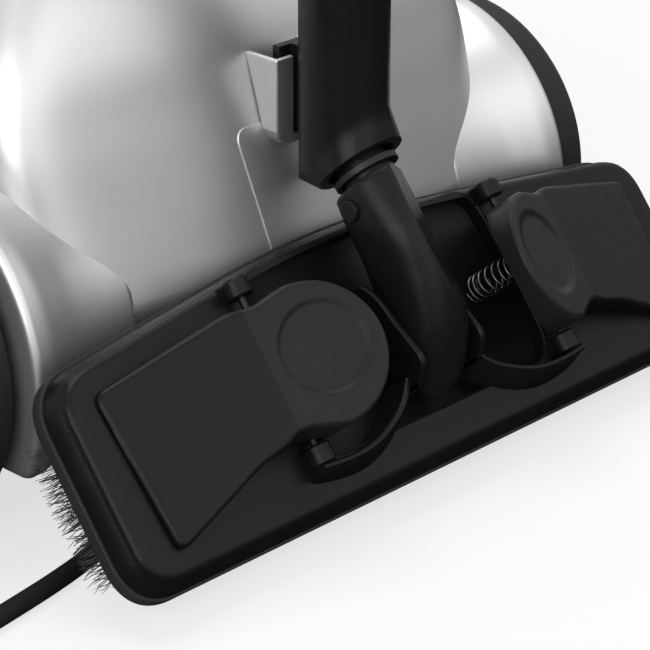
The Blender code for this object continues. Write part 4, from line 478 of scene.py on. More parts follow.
def makeSpring(side, name, values):
    # a helix whose pitch is close at both ends, where the curls lie shut
    turn = np.linspace(0, values["curls"], values["curls"] * 24 + 1)
    share = turn / values["curls"]
    ease = share - values["closed"] / values["curls"] * np.sin(2 * np.pi * share) / 2
    track = onBrush(side * (values["u"] - values["radius"] * np.cos(2 * np.pi * turn)),
                    values["v"] + values["radius"] * np.sin(2 * np.pi * turn),
                    values["low"] + (values["high"] - values["low"]) * ease)
    axis = onBrush(0, 0, 1) - onBrush(0, 0, 0)
    mesh = sheetMesh(name, hose(track, values["wire"], 8, axis), caps=(True, True))
    helix = newPiece(name + "_helix", mesh, name, "spring", 60)
    # the spring's foot under the pedal is worked out, and the helix gets a mesh of its own
    foot = onBrush(side * values["u"], values["v"], values["low"])
    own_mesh(helix)


makeSpring(-1, "left_spring", springSet)
makeSpring(1, "right_spring", springSet)


# Pedals: a wing and a raised lobe that meet in a crease, with a thumb dish in the lobe
pedalSet = {"creaseU": 0.079, "creaseN": 0.017, "tipU": 0.0379, "tipN": 0.0327, "outerU": 0.1385, "outerN": 0.0022,
            "lowN": 0.0006, "kneeU": 0.064, "underTipN": 0.023, "lobe": (0.0625, 0.0125, 0.0246, 0.0263),
            "wing": [(0.0798, 0.0363), (0.0945, 0.038), (0.135, 0.0535), (0.1385, -0.006), (0.0778, -0.0139)],
            "corners": [0.004, 0.006, 0.005, 0.005, 0.003], "edge": 0.0018, "skirt": 0.003, "roof": 0.0028,
            "dish": (0.059, 0.011, 0.0175, 0.0012), "hollowU": 0.059, "easeReach": 0.013, "easePasses": 14,
            "dishStretch": 1.07, "dishWall": 0.16,
            "creaseSpan": (-0.012, 0.035), "creaseDrop": 0.0004, "middle": (0.086, 0.015)}


def roundedOutline(corners, radii, steps):
    """A closed outline whose corners are arcs: each arc is the quadratic curve between two tangent points."""
    corners, radii = np.asarray(corners, float), np.asarray(radii, float)
    before, after = np.roll(corners, 1, axis=0), np.roll(corners, -1, axis=0)
    toBefore, toAfter = unit(before - corners), unit(after - corners)
    t = np.linspace(0, 1, steps)[None, :, None]
    start, end = corners + toBefore * radii[:, None], corners + toAfter * radii[:, None]
    arcs = (1 - t) ** 2 * start[:, None] + 2 * t * (1 - t) * corners[:, None] + t ** 2 * end[:, None]
    return arcs.reshape(-1, 2)


def evenly(outline, count):
    """Points at equal steps round a closed outline."""
    closed = np.concatenate([outline, outline[:1]])
    travelled = np.concatenate([[0], np.cumsum(np.linalg.norm(np.diff(closed, axis=0), axis=1))])
    spots = np.linspace(0, travelled[-1], count, endpoint=False)
    return readOff(spots, travelled, closed)


def inset(outline, distance):
    """A closed outline moved inwards, square to itself."""
    run = np.roll(outline, -1, axis=0) - np.roll(outline, 1, axis=0)
    normal = unit(np.stack([-run[:, 1], run[:, 0]], axis=-1))
    area = np.sum(outline[:, 0] * np.roll(outline[:, 1], -1) - outline[:, 1] * np.roll(outline[:, 0], -1))
    return outline + normal * distance * (1 if area > 0 else -1)


def makePedal(side, node, values):
    # top height: the lobe's plane and the wing's plane, eased together at the crease, less the dish's bowl
    centreU, centreV, halfU, halfV = values["lobe"]
    angle = np.linspace(np.pi / 2, -np.pi / 2, 40)
    arc = np.stack([centreU - halfU * np.cos(angle), centreV - halfV * np.sin(angle)], axis=-1)
    wing = roundedOutline(values["wing"], values["corners"], 8)
    outline = evenly(np.concatenate([arc, wing]), 200)
    # where lobe and wing meet the outline is eased: each point is the mean of its neighbours, several times
    joint = (np.abs(outline[:, 0] - values["creaseU"]) < values["easeReach"])[:, None]
    for _ in range(values["easePasses"]):
        beside = np.roll(outline, 1, axis=0) + np.roll(outline, -1, axis=0)
        outline = np.where(joint, 0.5 * outline + 0.25 * beside, outline)
    lobeSlope = (values["tipN"] - values["creaseN"]) / (values["creaseU"] - values["tipU"])
    wingSlope = (values["creaseN"] - values["outerN"]) / (values["outerU"] - values["creaseU"])

    def topN(spots):
        u, v = spots.T
        lobe = values["creaseN"] + (values["creaseU"] - u) * lobeSlope
        wing = values["creaseN"] + (values["creaseU"] - u) * wingSlope
        height = np.maximum(lobe, wing)
        dishU, dishV, radius, depth = values["dish"]
        away = np.hypot((u - dishU) * values["dishStretch"], v - dishV) / radius
        bowl = np.clip((1 - away) / values["dishWall"], 0, 1)
        return height - depth * eased(bowl)

    def underN(spots):
        rise = (values["underTipN"] - values["lowN"]) / (values["kneeU"] - values["tipU"])
        return values["lowN"] + np.clip(values["kneeU"] - spots[:, 0], 0, None) * rise

    edge, middle = values["edge"], np.array(values["middle"])
    inner, rings = inset(outline, values["skirt"]), []
    for share in (0.98, 0.75, 0.5, 0.25, 0.1, 0.02):          # underside, from the middle out
        spots = inner + (middle - inner) * share
        roof = topN(spots) - values["roof"] - values["dish"][3]
        rings.append((spots, np.where(spots[:, 0] < values["hollowU"], roof, underN(spots))))
    rings.append((inner, underN(inner)))
    rings.append((inset(outline, edge * 0.3), underN(outline)))
    rings.append((outline, underN(outline) + edge * 0.3))
    for turn in np.linspace(0, np.pi / 2, 5):                  # wall and rounded rim
        spots = inset(outline, edge * (1 - np.cos(turn)))
        drop = edge * (1 - np.sin(turn))
        top = np.maximum(topN(spots) - drop, underN(outline) + edge * 0.35)
        rings.append((spots, top))
    rim = inset(outline, edge)
    for share in np.concatenate([np.linspace(0.03, 0.97, 44), [0.995]]):
        spots = rim + (middle - rim) * share
        rings.append((spots, topN(spots)))
    grid = np.stack([onBrush(side * spots[:, 0], spots[:, 1], n) for spots, n in rings])
    mesh = sheetMesh(node, grid, caps=(True, True))
    crease = onBrush(side * values["creaseU"], 0.0, 0.0)
    with opened(mesh) as bm:
        bmesh.ops.remove_doubles(bm, verts=bm.verts, dist=tolerance["pedalTwin"])
        bmesh.ops.bisect_plane(bm, geom=bm.verts[:] + bm.edges[:] + bm.faces[:], plane_co=crease, plane_no=(1, 0, 0))
        # the cut's new corners drop onto the two planes' meeting line
        lowV, highV = values["creaseSpan"]
        for vert in bm.verts:
            ahead, above = brushPlace["y"] - vert.co.y, vert.co.z - brushPlace["z"]
            v, n = ahead * leanCos - above * leanSin, ahead * leanSin + above * leanCos
            onCrease = abs(vert.co.x - side * values["creaseU"]) < tolerance["pedalTwin"]
            if onCrease and lowV < v < highV and n > values["creaseN"] - values["creaseDrop"]:
                vert.co = onBrush(vert.co.x, v, values["creaseN"])
    newPiece(node + "_form", mesh, node, "tread", 24, crease=side * values["creaseU"])


makePedal(-1, "left_pedal", pedalSet)
makePedal(1, "right_pedal", pedalSet)


# Hood: level sections from the tray up, eased into one shell
hoodSet = {"levels": [(0.075, 0.116, 0.035, 0.003), (0.107, 0.118, 0.0446, 0.001),
                      (0.135, 0.119, 0.053, 0.004), (0.16, 0.112, 0.061, 0.012),
                      (0.185, 0.097, 0.074, 0.028), (0.206, 0.079, 0.093, 0.052),
                      (0.22, 0.061, 0.113, 0.076)],
           "bulge": 0.011, "tailBulge": 0.05, "belly": 0.004, "end": 0.3893, "ledge": (0.97, 0.80),
           "apron": (0.0085, 0.024, 0.00005), "wall": 0.0024, "socket": (0.118, 0.015), "behind": 0.15,
           "cornerPasses": 26}


def hoodPoint(level, turn):
    # a level outline: the face and the tail are parabolas, the sides belly a little, the corners are eased
    halfWidth, face, tail = level[..., 1], level[..., 2], level[..., 3]
    bulge, tailBulge = hoodSet["bulge"], hoodSet["tailBulge"]
    front, back = brushPlace["y"] + face, brushPlace["y"] + hoodSet["end"] - tail
    along = turn % 4
    share = along - np.floor(along)
    sway = 2 * share - 1
    sideRun = back - tailBulge - front - bulge
    side = halfWidth + hoodSet["belly"] * np.sin(np.pi * share)
    quarter = [along < 1, along < 2, along < 3]
    x = np.select(quarter, [sway * halfWidth, side, -sway * halfWidth], -side)
    y = np.select(quarter, [front + bulge * sway ** 2, front + bulge + share * sideRun, back - tailBulge * sway ** 2],
                  front + bulge + (1 - share) * sideRun)
    return np.stack([x, y, np.broadcast_to(level[..., 0], x.shape)], axis=-1)


def makeHood(values):
    levels = smoothTrack(values["levels"], 8)[:, None, :]
    turn = np.linspace(0, 4, 288, endpoint=False)[None, :]
    grid = hoodPoint(levels, turn + np.zeros((len(levels), 1)))
    # corners: each point is the mean of its neighbours along the outline, many times over
    for _ in range(values["cornerPasses"]):
        grid = 0.5 * grid + 0.25 * (np.roll(grid, 1, axis=1) + np.roll(grid, -1, axis=1))
    # a ledge under the deck closes the gap between its edge and the hood's top
    middle = grid[-1].mean(axis=0)
    ledge = [middle + (grid[-1] - middle) * share for share in values["ledge"]]
    # an apron hangs from the front edge, behind the brush, and runs out along the sides
    drop, reach, seam = values["apron"]
    near = 1 - np.clip((grid[0, :, 1] - grid[0, :, 1].min()) / reach, 0, 1)
    apron = grid[:1].copy()
    apron[0, :, 2] -= drop * eased(near) + seam
    mesh = sheetMesh("hood", np.concatenate([apron, grid, ledge]))
    socketZ, socketReach = values["socket"]
    with opened(mesh) as bm:
        spots = [(face, face.calc_center_median()) for face in bm.faces]
        bmesh.ops.delete(bm, context="FACES", geom=[
            face for face, spot in spots
            if spot.y > values["behind"] and math.hypot(spot.x, spot.z - socketZ) < socketReach])
        bmesh.ops.recalc_face_normals(bm, faces=bm.faces)
    giveWall(newPiece("hood_shell", mesh, "hood", "silver", 60, turned=False), values["wall"])
    return grid


hoodGrid = makeHood(hoodSet)


# Base tray: the CAD solid trimmed to the hood's round corners, inside a band that follows them
traySet = {"shy": 0.001, "front": 0.048, "low": 0.0299, "high": 0.0746, "thick": 0.0024, "round": 0.0014}


def makeTray(values):
    low, high, thick, edge = (values[key] for key in ("low", "high", "thick", "round"))
    outline = inset(hoodGrid[0][:, :2], values["shy"])
    outline[:, 1] = np.maximum(outline[:, 1], brushPlace["y"] + values["front"])

    def rowsOf(lines):
        # each line is an inset from the outline and a height
        return np.stack([np.column_stack([inset(outline, share), np.full(len(outline), z)]) for share, z in lines])

    lines = [(0.0, high), (0.0, low + edge)]
    lines += [(edge * (1 - math.cos(turn)), low + edge * (1 - math.sin(turn)))
              for turn in np.linspace(0.3, math.pi / 2, 4)]
    lines += [(thick, low), (thick, high)]
    newPiece("base_tray_band", sheetMesh("base_tray", rowsOf(lines), along=True), "base_tray", "charcoal", 40)
    rows = rowsOf([(thick / 2, low / 2), (thick / 2, high * 1.5)])
    prism = show("trimmer", outward(sheetMesh("trimmer", rows, caps=(True, True))))
    solid = show("trimmed", soften(joinedUp("base_tray"), skinSet["smooth"]))
    trim = solid.modifiers.new("trim", "BOOLEAN")
    trim.operation, trim.solver, trim.object = "INTERSECT", "EXACT", prism
    made = bpy.data.meshes.new_from_object(solid.evaluated_get(bpy.context.evaluated_depsgraph_get()))
    for helper in (prism, solid):
        bpy.data.objects.remove(helper)
    refined("base_tray", made)


makeTray(traySet)


# Parking panel: a patch of the hood's face, laid on it with a fine seam
panelSet = {"lowZ": 0.0755, "topZ": 0.125, "halfTop": 0.027, "halfFoot": 0.021, "corner": 0.006, "proud": 0.0005,
            "thick": 0.002, "edge": 0.0003}


def faceY(x, z):
    """The hood face's place along the machine, read off the hood's own grid."""
    rows = hoodGrid[:, :, 2].mean(axis=1)
    middle = hoodGrid[:, 4:69, :]
    columns = range(middle.shape[1])
    xs, ys = (np.stack([np.interp(np.ravel(z), rows, middle[:, column, axis]) for column in columns], axis=-1)
              for axis in (0, 1))
    spots = [np.interp(*line) for line in zip(np.ravel(x), xs, ys)]
    return np.array(spots).reshape(np.shape(x))


def makePanel(values):
    # the outline is filled by rings that shrink towards its middle, each point laid on the hood's face
    corners = [(-values["halfFoot"], values["lowZ"]), (values["halfFoot"], values["lowZ"]),
               (values["halfTop"], values["topZ"]), (-values["halfTop"], values["topZ"])]
    outline = evenly(roundedOutline(corners, [0.0005, 0.0005, values["corner"], values["corner"]], 8), 96)
    middle = np.array([0.0, (values["lowZ"] + values["topZ"]) / 2])
    share = np.concatenate([[0.0, 0.02], np.linspace(0.1, 0.96, 9), [0.995]])[:, None, None]
    flat = outline[None] + (middle - outline[None]) * share
    y = faceY(flat[..., 0], flat[..., 1]) - values["proud"]
    grid = np.stack([flat[..., 0], y, flat[..., 1]], axis=-1)
    mesh = sheetMesh("park_panel", grid, caps=(False, True))
    panel = newPiece("park_panel_patch", mesh, "park_panel", "silver", 40)
    if sum(f.normal.y for f in panel.data.polygons) > 0:
        panel.data.flip_normals()
    giveWall(panel, values["thick"])
    edge = panel.modifiers.new("edge", "BEVEL")
    edge.width, edge.segments, edge.limit_method = values["edge"], 2, "ANGLE"


makePanel(panelSet)


# Fenders: half drums that taper inwards and run into the hood
fenderSet = {"outline": [(0.085, 0.06), (0.10, 0.061), (0.112, 0.063), (0.122, 0.0662), (0.13, 0.069),
                         (0.1362, 0.07)], "outerX": 0.139, "corner": 0.0026, "footZ": 0.03,
             "drum": 0.07, "face": (0.066, 0.0345), "steps": 96, "wheelY": -0.081, "wheelZ": 0.063,
             "wall": 0.0026}


def makeFender(side, node, values):
    # a turned drum round the wheel's axle, kept above the foot line: the angle's limits follow the radius
    body = smoothTrack(values["outline"], 6)
    bend = np.linspace(0, np.pi / 2, 6)[1:]
    rim = np.stack([values["outerX"] - values["corner"] * (1 - np.sin(bend)),
                    values["drum"] - values["corner"] * (1 - np.cos(bend))], axis=-1)
    face = np.stack([np.full(6, values["outerX"]), np.linspace(*values["face"], 6)], axis=-1)
    profile = np.concatenate([body, rim, face])
    x, radius = profile[:, :1], profile[:, 1:]
    dip = np.arcsin(np.clip((values["wheelZ"] - values["footZ"]) / radius, 0, 1))
    angle = -dip + (np.pi + 2 * dip) * np.linspace(0, 1, values["steps"])[None, :]
    grid = np.stack([np.broadcast_to(side * x, angle.shape), values["wheelY"] + radius * np.cos(angle),
                     values["wheelZ"] + radius * np.sin(angle)], axis=-1)
    inner = np.array([side * values["outerX"], values["wheelY"], values["wheelZ"]])
    grid = np.concatenate([grid, inner + (grid[-1:] - inner) * 0.02], axis=0)
    mesh = sheetMesh(node, grid, around=False, flip=side < 0)
    giveWall(newPiece(node + "_drum", mesh, node, "silver", 50, turned=False), values["wall"])


makeFender(-1, "left_fender", fenderSet)
makeFender(1, "right_fender", fenderSet)


# Neck: an oval elbow that comes down from the swivel and tapers to a rounded toe between the pedals
neckSet = {"sections": [((-0.014, 0.037), (-0.0275, 0.0046), 0.015), ((0.002, 0.034), (-0.0125, 0.0032), 0.014),
                        ((0.0156, 0.029), (0.003, 0.0005), 0.0136), ((0.0255, 0.0235), (0.016, -0.0022), 0.0134),
                        ((0.035, 0.014), (0.027, -0.0028), 0.0125), ((0.0405, 0.006), (0.035, -0.002), 0.009),
                        ((0.043, 0.002), (0.0405, -0.0005), 0.004)],
           "swivelZ": 0.109, "swivelY": -0.1737, "endRadius": 0.015, "power": 0.85, "spigot": (0.01, 0.025),
           "facet": ((0.62, -0.62, 0.48), 0.0026), "facetSpot": (0.0095, 0.012, 0.0275)}


def makeNeck(values):
    # each section is an oval between its front and back points, and the sections are eased along the neck
    angle = fullTurn(72)
    lean = math.sqrt(0.5)
    wide, deep = (np.sign(wave) * np.abs(wave) ** values["power"] for wave in (np.cos(angle), np.sin(angle)))

    def oval(front, back, half):
        middle, spoke = (np.array(front) + back) / 2, (np.array(back) - front) / 2
        return onBrush(half * wide, middle[0] + spoke[0] * deep, middle[1] + spoke[1] * deep)

    radius = values["endRadius"]
    end = np.stack([radius * np.cos(angle), values["swivelY"] + radius * np.sin(angle) * lean,
                    values["swivelZ"] - radius * np.sin(angle) * lean], axis=-1)
    knots = np.stack([end] + [oval(*section) for section in values["sections"]])
    rows = smoothTrack(knots.reshape(len(knots), -1), 7).reshape(-1, 72, 3)
    axis = np.array([0.0, lean, lean])
    centre = np.array([0.0, values["swivelY"], values["swivelZ"]])
    spigotRadius, reach = values["spigot"]
    rim = [centre + (end - centre) * share + axis * lift for share, lift in ((0.93, 0.0006), (0.985, 0.0003))]
    spigot = [centre + (end - centre) * spigotRadius / radius + axis * lift for lift in (reach, 0.0006)]
    grid = np.concatenate([np.stack(spigot + rim), rows])
    middle = grid.mean(axis=1, keepdims=True)[-1:]
    grid = np.concatenate([grid, middle + (grid[-1:] - middle) * 0.3])
    # a flat oval facet on the right of its front: what stands past a plane is laid onto it
    facing, away = np.array(values["facet"][0]), values["facet"][1]
    facing = facing / np.linalg.norm(facing)
    past = (grid - onBrush(*values["facetSpot"])) @ facing + away
    grid = np.where((past > 0)[..., None], grid - past[..., None] * facing, grid)
    newPiece("neck_form", sheetMesh("neck", grid, caps=(True, True)), "neck", "black", 45)


makeNeck(neckSet)


# Bristles: four rows, every strand its own bend
bristleSet = {"rootN": -0.0165, "tipN": -0.0318, "radius": 0.00022, "count": 620, "half": 0.0034, "wild": 0.0022,
              "short": (0.1, 0.35), "crowd": 0.8, "shortest": 0.82, "curl": 1.8,
              "rings": (0.0, 0.4, 0.75, 1.0), "taper": (1.0, 0.95, 0.8, 0.45),
              "rows": {"bristles_front": [(-0.134, 0.0556), (0.134, 0.0556)],
                       "bristles_rear": [(-0.13, -0.0085), (0.0, -0.0158), (0.13, -0.0085)],
                       "bristles_left": [(-0.144, 0.002), (-0.144, 0.05)],
                       "bristles_right": [(0.144, 0.002), (0.144, 0.05)]},
              "lean": {"bristles_front": (0.0, 0.003), "bristles_rear": (0.0, 0.0048),
                       "bristles_left": (-0.0052, 0.0), "bristles_right": (0.0052, 0.0)}}


def makeBristles(node, values, seed):
    """Each strand is a thin three-sided hair of four rings; its tip strays from its root by a random bend."""
    chance = np.random.default_rng(seed)
    path = np.array(values["rows"][node], float)
    lengths = np.linalg.norm(np.diff(path, axis=0), axis=1)
    travelled = np.concatenate([[0], np.cumsum(lengths)])
    shortRow, shortShare = values["short"]
    count = int(values["count"] * (shortShare if lengths.sum() < shortRow else 1.0))
    spot = chance.uniform(0, travelled[-1], count)
    root = readOff(spot, travelled, path)
    root += chance.uniform(-1, 1, (count, 2)) * values["half"] * values["crowd"]
    tip = root + np.array(values["lean"][node]) + chance.normal(0, 1, (count, 2)) * values["wild"]
    drop = chance.uniform(values["shortest"], 1.0, count)
    share = np.array(values["rings"])
    bend = share[None, :, None] ** values["curl"]
    spots = root[:, None, :] + (tip - root)[:, None, :] * bend
    depth = values["rootN"] + (values["tipN"] - values["rootN"]) * drop[:, None] * share[None, :]
    thin = values["radius"] * np.array(values["taper"])
    angle = fullTurn(3)
    u = spots[:, :, None, 0] + thin[None, :, None] * np.cos(angle)
    v = spots[:, :, None, 1] + thin[None, :, None] * np.sin(angle)
    points = onBrush(u, v, np.broadcast_to(depth[:, :, None], u.shape))
    points = np.clip(points, *(np.array(corner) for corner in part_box(node)))
    index = np.arange(count * 12).reshape(count, 4, 3)
    after = np.roll(index, -1, axis=2)
    quads = np.stack([index[:, :-1], index[:, 1:], after[:, 1:], after[:, :-1]], axis=-1).reshape(-1, 4)
    ends = np.concatenate([index[:, 0], index[:, -1][:, ::-1]])
    mesh = bpy.data.meshes.new(node)
    mesh.from_pydata(points.reshape(-1, 3).tolist(), [], quads.tolist() + ends.tolist())
    mesh.validate()
    newPiece(node + "_hair", mesh, node, "hair", 80)


for seed, node in enumerate(bristleSet["rows"]):
    makeBristles(node, bristleSet, seed + 3)


# Brush cover: a plate with rolled edges, a sunk well, four lugs, two collars and two ears
coverSet = {"half": 0.15, "front": 0.0613, "rear": 0.0328, "rearDrop": 0.0183, "bend": 0.015, "flare": 0.0026,
            "rearBend": 0.06, "tuck": 0.0004, "ringStep": 0.0008, "rollDrop": 1.15,
            "depth": 0.0107, "roll": 0.003, "well": (0.062, 0.0455, -0.0255, 0.012), "floorN": -0.007,
            "lip": 0.0008, "centre": (0.0, 0.01), "underlap": 0.004, "floorEdge": 0.0006,
            "lug": (0.066, 0.0045, 0.005), "lugRear": (-0.0246, -0.0176), "lugFront": (0.0392, 0.0468),
            "collar": [(0.07, 0.0476), (0.056, 0.0486), (0.044, 0.0476), (0.033, 0.044), (0.024, 0.039),
                       (0.017, 0.032)], "collarHalf": 0.0011, "collarN": 0.009, "collarSpread": 0.0048,
            "ear": [(-0.006, -0.0085), (-0.006, 0.008), (0.002, 0.013), (0.012, 0.015), (0.022, 0.018),
                    (0.029, 0.02), (0.034, 0.015), (0.037, 0.009), (0.038, -0.0085)],
            "earInner": 0.0146, "earOuter": 0.0171, "post": (0.047, 0.011, 0.0036, -0.001),
            "earBends": [0.0005, 0.004, 0.004, 0.004, 0.004, 0.004, 0.004, 0.004, 0.0005], "foot": -0.0068}


def addGrid(bm, grid, around=True, caps=(False, False)):
    """Adds a grid's surface to a bmesh as a shell of its own, faces out."""
    mesh = outward(sheetMesh("part", grid, around=around, caps=caps))
    bm.from_mesh(mesh)
    bpy.data.meshes.remove(mesh)


def byAngle(outline, centre, angles):
    """Where a closed outline meets the rays that leave the centre at these angles."""
    away = outline - centre
    theta = np.unwrap(np.arctan2(away[:, 1], away[:, 0]))
    if theta[-1] < theta[0]:
        theta, away = theta[::-1], away[::-1]
    theta = np.append(theta, theta[0] + 2 * np.pi)
    away = np.concatenate([away, away[:1]])
    wanted = theta[0] + (angles - theta[0]) % (2 * np.pi)
    return centre + readOff(wanted, theta, away)


def brushOutline(values):
    half, front, rear, bend = values["half"], values["front"], values["rear"], values["bend"]
    corners = [(-half, front), (half, front), (half, -rear + values["rearDrop"]), (0.0, -rear),
               (-half, -rear + values["rearDrop"])]
    return evenly(roundedOutline(corners, [bend, bend, bend, values["rearBend"], bend], 16), 720)


def makeCover(values):
    outline = brushOutline(values)
    wellHalf, wellFront, wellRear, wellCorner = values["well"]
    well = evenly(roundedOutline([(-wellHalf, wellFront), (wellHalf, wellFront), (wellHalf, wellRear),
                                  (-wellHalf, wellRear)], [wellCorner] * 4, 10), 480)
    centre = np.array(values["centre"])
    angles = np.sort(np.concatenate([np.arctan2(*(loop[::3] - centre).T[::-1]) for loop in (outline, well)]))
    angles = angles[np.concatenate([[True], np.diff(angles) > values["ringStep"]])]
    roll, lip, depth, flare, tuck = (values[key] for key in ("roll", "lip", "depth", "flare", "tuck"))
    rings = [(inset(outline, values["underlap"] - flare), -depth), (inset(outline, -flare), -depth),
             (inset(outline, -flare), tuck - depth), (inset(outline, -tuck), -roll * values["rollDrop"])]
    for turn in np.linspace(0, np.pi / 2, 6):                  # rolled edge, then the flat, then the well
        rings.append((inset(outline, roll * (1 - np.cos(turn))), -roll * (1 - np.sin(turn))))
    flat, edge = (byAngle(loop, centre, angles) for loop in (inset(outline, roll), inset(well, -lip)))
    made = [(byAngle(loop, centre, angles), n) for loop, n in rings]
    made += [(flat + (edge - flat) * share, 0.0) for share in (0.05, 0.35, 0.65, 0.95)]
    for turn in np.linspace(0, np.pi / 2, 4):
        made.append((byAngle(inset(well, -lip * np.cos(turn)), centre, angles), -lip * np.sin(turn)))
    made.append((byAngle(well, centre, angles), values["floorN"] + tuck))
    inner = byAngle(inset(well, values["floorEdge"]), centre, angles)
    made += [(inner + (centre - inner) * share, values["floorN"]) for share in (0.0, 0.3, 0.6, 0.9)]
    bm = bmesh.new()
    addGrid(bm, np.stack([onBrush(loop[:, 0], loop[:, 1], n) for loop, n in made]), caps=(False, True))
    u, n, radius = values["lug"]
    for side in (-1, 1):
        for rearV, frontV in (values["lugRear"], values["lugFront"]):
            # lug: a short round bar along the slope with rounded rims
            angle = fullTurn(40)[None, :]
            along = np.array([rearV, rearV, rearV + 0.0008, frontV - 0.0008, frontV, frontV])[:, None]
            girth = radius * np.array([0.30, 0.86, 1.0, 1.0, 0.86, 0.30])[:, None]
            bar = onBrush(side * u + girth * np.cos(angle), along + 0 * angle, n + girth * np.sin(angle))
            addGrid(bm, bar, caps=(True, True))
            # its foot, down to the plate
            block = roundedOutline([(u - radius * 0.9, rearV), (u + radius * 0.9, rearV), (u + radius * 0.9, frontV),
                                    (u - radius * 0.9, frontV)], [0.0012] * 4, 5)
            foot = np.stack([onBrush(side * block[:, 0], block[:, 1], high) for high in (-0.006, n)])
            addGrid(bm, foot, caps=(True, True))
        # collar: a low wall along the well's front, which spreads outwards into the plate
        path = smoothTrack(values["collar"], 8)
        run = unit(np.gradient(path, axis=0))
        outside = np.stack([-run[:, 1], run[:, 0]], axis=-1)
        outside *= np.sign((outside * (path - centre)).sum(axis=1, keepdims=True))
        top, wide, foot, spill = (values[key] for key in ("collarN", "collarHalf", "foot", "collarSpread"))
        section = [(-wide, foot), (-wide, top - 0.0006), (-wide * 0.5, top), (wide * 0.5, top), (wide, top - 0.0006),
                   (wide + spill * 0.35, top * 0.45), (wide + spill, -0.0002), (wide + spill, foot)]
        fade = np.sin(np.pi * np.clip(np.linspace(0.08, 0.97, len(path)), 0, 1)) ** 0.5
        rows = []
        for offset, height in section:
            spread = np.where(offset > wide, wide + (offset - wide) * fade, offset)
            spot = path + outside * spread[:, None]
            rows.append(onBrush(side * spot[:, 0], spot[:, 1], height))
        addGrid(bm, np.stack(rows).transpose(1, 0, 2), caps=(True, True))
        ear = evenly(roundedOutline(values["ear"], values["earBends"], 6), 120)
        plates = []
        for share, uu in ((0.0006, values["earInner"]), (0.0, values["earInner"] + 0.0005),
                          (0.0, values["earOuter"] - 0.0007), (0.0007, values["earOuter"])):
            loop = inset(ear, share)
            plates.append(onBrush(side * uu, loop[:, 0], loop[:, 1]))
        addGrid(bm, np.stack(plates), caps=(True, True))
        postU, postV, postRadius, postN = values["post"]
        angle = fullTurn(24)[None, :]
        wide = postRadius * np.array([1.0, 1.0, 0.85, 0.3])[:, None]
        high = np.array([values["foot"], postN - 0.0005, postN, postN])[:, None] + 0 * angle
        post = onBrush(side * postU + wide * np.cos(angle), postV + wide * np.sin(angle), high)
        addGrid(bm, post, caps=(False, True))
    mesh = bpy.data.meshes.new("brush_cover")
    bm.to_mesh(mesh)
    bm.free()
    newPiece("brush_cover_form", mesh, "brush_cover", "plate", 38, turned=False)


makeCover(coverSet)


# Brush base: the dark skirt under the cover, which holds the bristles
skirtSet = {"grow": 0.0036, "low": -0.0165, "high": -0.011, "round": 0.0008}


def makeSkirt(values):
    outline, rows = brushOutline(coverSet), []
    low, high, edge = values["low"], values["high"], values["round"]
    for centre, across, turns in ((low + edge, edge, np.linspace(-np.pi / 2, 0, 5)),
                                  (high - edge * 0.5, edge * 0.5, np.linspace(0, np.pi / 2, 4))):
        for turn in turns:
            loop = inset(outline, -values["grow"] + across * (1 - np.cos(turn)))
            rows.append(onBrush(loop[:, 0], loop[:, 1], centre + across * np.sin(turn)))
    mesh = sheetMesh("brush_base", np.stack(rows), caps=(True, True))
    newPiece("brush_base_form", mesh, "brush_base", "charcoal", 60)


makeSkirt(skirtSet)


# Wheels: turned, with rounded shoulders, a barely hollow tread and a dished face
wheelSet = {"innerX": 0.142, "width": 0.0185, "y": -0.081, "z": 0.063, "tread": (0.063, 0.0629),
            "bore": 0.0004,
            "profile": [(0.0, 0.003), (0.03, 0.003), (0.032, 0.002), (0.048, 0.002), (0.0495, 0.0006),
                        (0.059, 0.0006), (0.0612, 0.0012), (0.0624, 0.0026), (0.063, 0.0046)]}


def makeWheel(side, node, values):
    # the profile runs from the inner face over the tread to the outer face, which mirrors the inner
    width, (rim, hollow) = values["width"], values["tread"]
    tread = [(rim, width * 0.3), (hollow, width * 0.5), (rim, width * 0.7)]
    outer = [(r, width - h) for r, h in values["profile"][::-1]]
    profile = np.array(values["profile"] + tread + outer)
    profile[[0, -1], 0] = values["bore"]
    angle, radius, height = fullTurn(144)[None, :], profile[:, :1], profile[:, 1:]
    grid = np.stack([side * (values["innerX"] + height) + 0 * angle, values["y"] + radius * np.sin(angle),
                     values["z"] - side * radius * np.cos(angle)], axis=-1)
    newPiece(node + "_turned", sheetMesh(node, grid, caps=(True, True)), node, "tyre", 30)


makeWheel(-1, "left_wheel", wheelSet)
makeWheel(1, "right_wheel", wheelSet)

for node in sorted(frame["nodes"]):
    if node not in madeNodes:
        refined(node, joinedUp(node))

# Studio: a pale floor, a pale world for the camera, soft lamps
studioSet = {"floor": 24.0, "fade": (0.25, 0.85, 0.70), "world": 0.30, "shine": (0.02, 0.08, 0.28),
             "aim": (0.0, -0.05, 0.12), "paper": [(0.84, 0.84, 0.84), (0.87, 0.87, 0.87)],
             "lamps": [((-0.35, -1.8, 0.95), 1.7, 10.0), ((0.9, -1.6, 1.5), 1.2, 5.0),
                       ((-1.75, -0.85, 0.85), 1.4, 24.0), ((0.2, 0.3, 2.1), 1.4, 24.0)]}


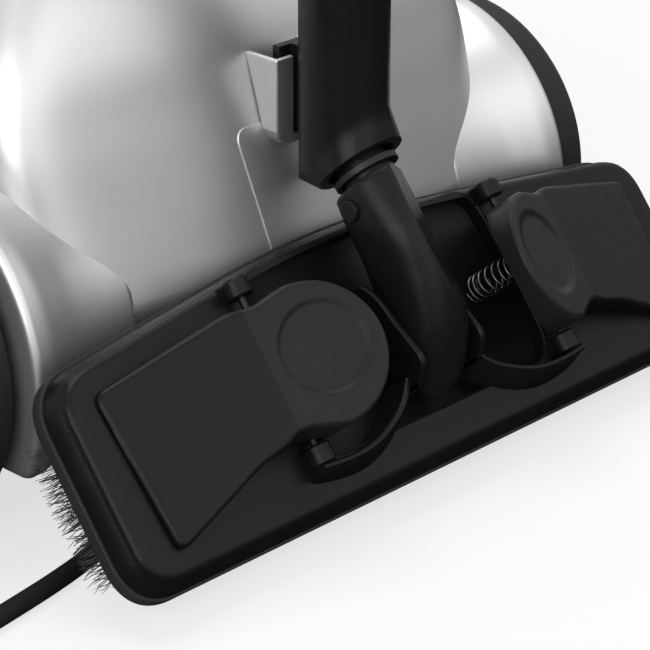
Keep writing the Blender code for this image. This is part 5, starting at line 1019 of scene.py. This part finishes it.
def makeStudio(values):
    half = values["floor"] / 2
    floor = sheetMesh("floor", half * np.array([[(-1, -1, 0), (1, -1, 0)], [(-1, 1, 0), (1, 1, 0)]]), around=False)
    show("floor", floor)
    # paper that a lens sees brighter than the lamps make it, and quite white far from the machine
    paper = Finish("paperFloor", Roughness=0.9)
    paper.feed("Base Color", paper.blend(paper.noise(0.4, 2), *values["paper"]))
    near, far, dim = values["fade"]
    dark, skyLow, skyHigh = values["shine"]
    away = paper.add("VectorMath", {"operation": "LENGTH"}, {0: paper.place}, "Value")
    fade = paper.add("MapRange", {"interpolation_type": "SMOOTHSTEP"},
                     {"Value": away, "From Min": near, "From Max": far, "To Min": dim, "To Max": 1.0})
    # in reflections it is nearly black, as with a dark cloth laid out in front of the machine
    glossy, direct = paper.rays("Glossy"), paper.rays("Camera") + paper.rays("Transmission")
    white = paper.add("Emission", {}, {"Color": (1, 1, 1, 1), "Strength": glossy * (dark - 1.0) + 1.0})
    seen = paper.add("Math", {"operation": "MAXIMUM"}, {0: direct * fade, 1: glossy})
    mixed = paper.add("MixShader", {}, {0: seen, 1: Signal(paper, paper.shader.outputs[0]), 2: white})
    output = [node for node in paper.tree.nodes if node.type == "OUTPUT_MATERIAL"][0]
    paper.tree.links.new(mixed.socket, output.inputs["Surface"])
    floor.materials.append(paper.material)
    for place, size, power in values["lamps"]:
        data = bpy.data.lights.new("softLamp", "AREA")
        data.size, data.energy = size, power
        lamp = show("softLamp", data)
        lamp.location = place
        lamp.rotation_euler = (Vector(values["aim"]) - Vector(place)).to_track_quat("-Z", "Y").to_euler()
    world = bpy.data.worlds.new("studio")
    bpy.context.scene.world = world
    world.use_nodes = True
    # reflections meet a sky that is dark at the horizon and white overhead; the camera sees plain white
    air = Nodes(world.node_tree)
    height = air.add("SeparateXYZ", {}, {0: air.add("TexCoord", {}, {}, "Generated")}, "Z")
    sky = air.add("MapRange", {}, {"Value": height, "From Min": skyLow, "From Max": skyHigh,
                                             "To Min": dark, "To Max": 1.0})
    seen = air.rays("Glossy") * sky + air.rays("Camera") + air.rays("Transmission")
    strength = air.add("Mix", {}, {"Factor": seen, 2: values["world"], 3: 1.0})
    background = air.tree.nodes["Background"]
    background.inputs["Color"].default_value = (1, 1, 1, 1)
    air.tree.links.new(strength.socket, background.inputs["Strength"])


makeStudio(studioSet)
bpy.context.scene.view_settings.view_transform = "Standard"
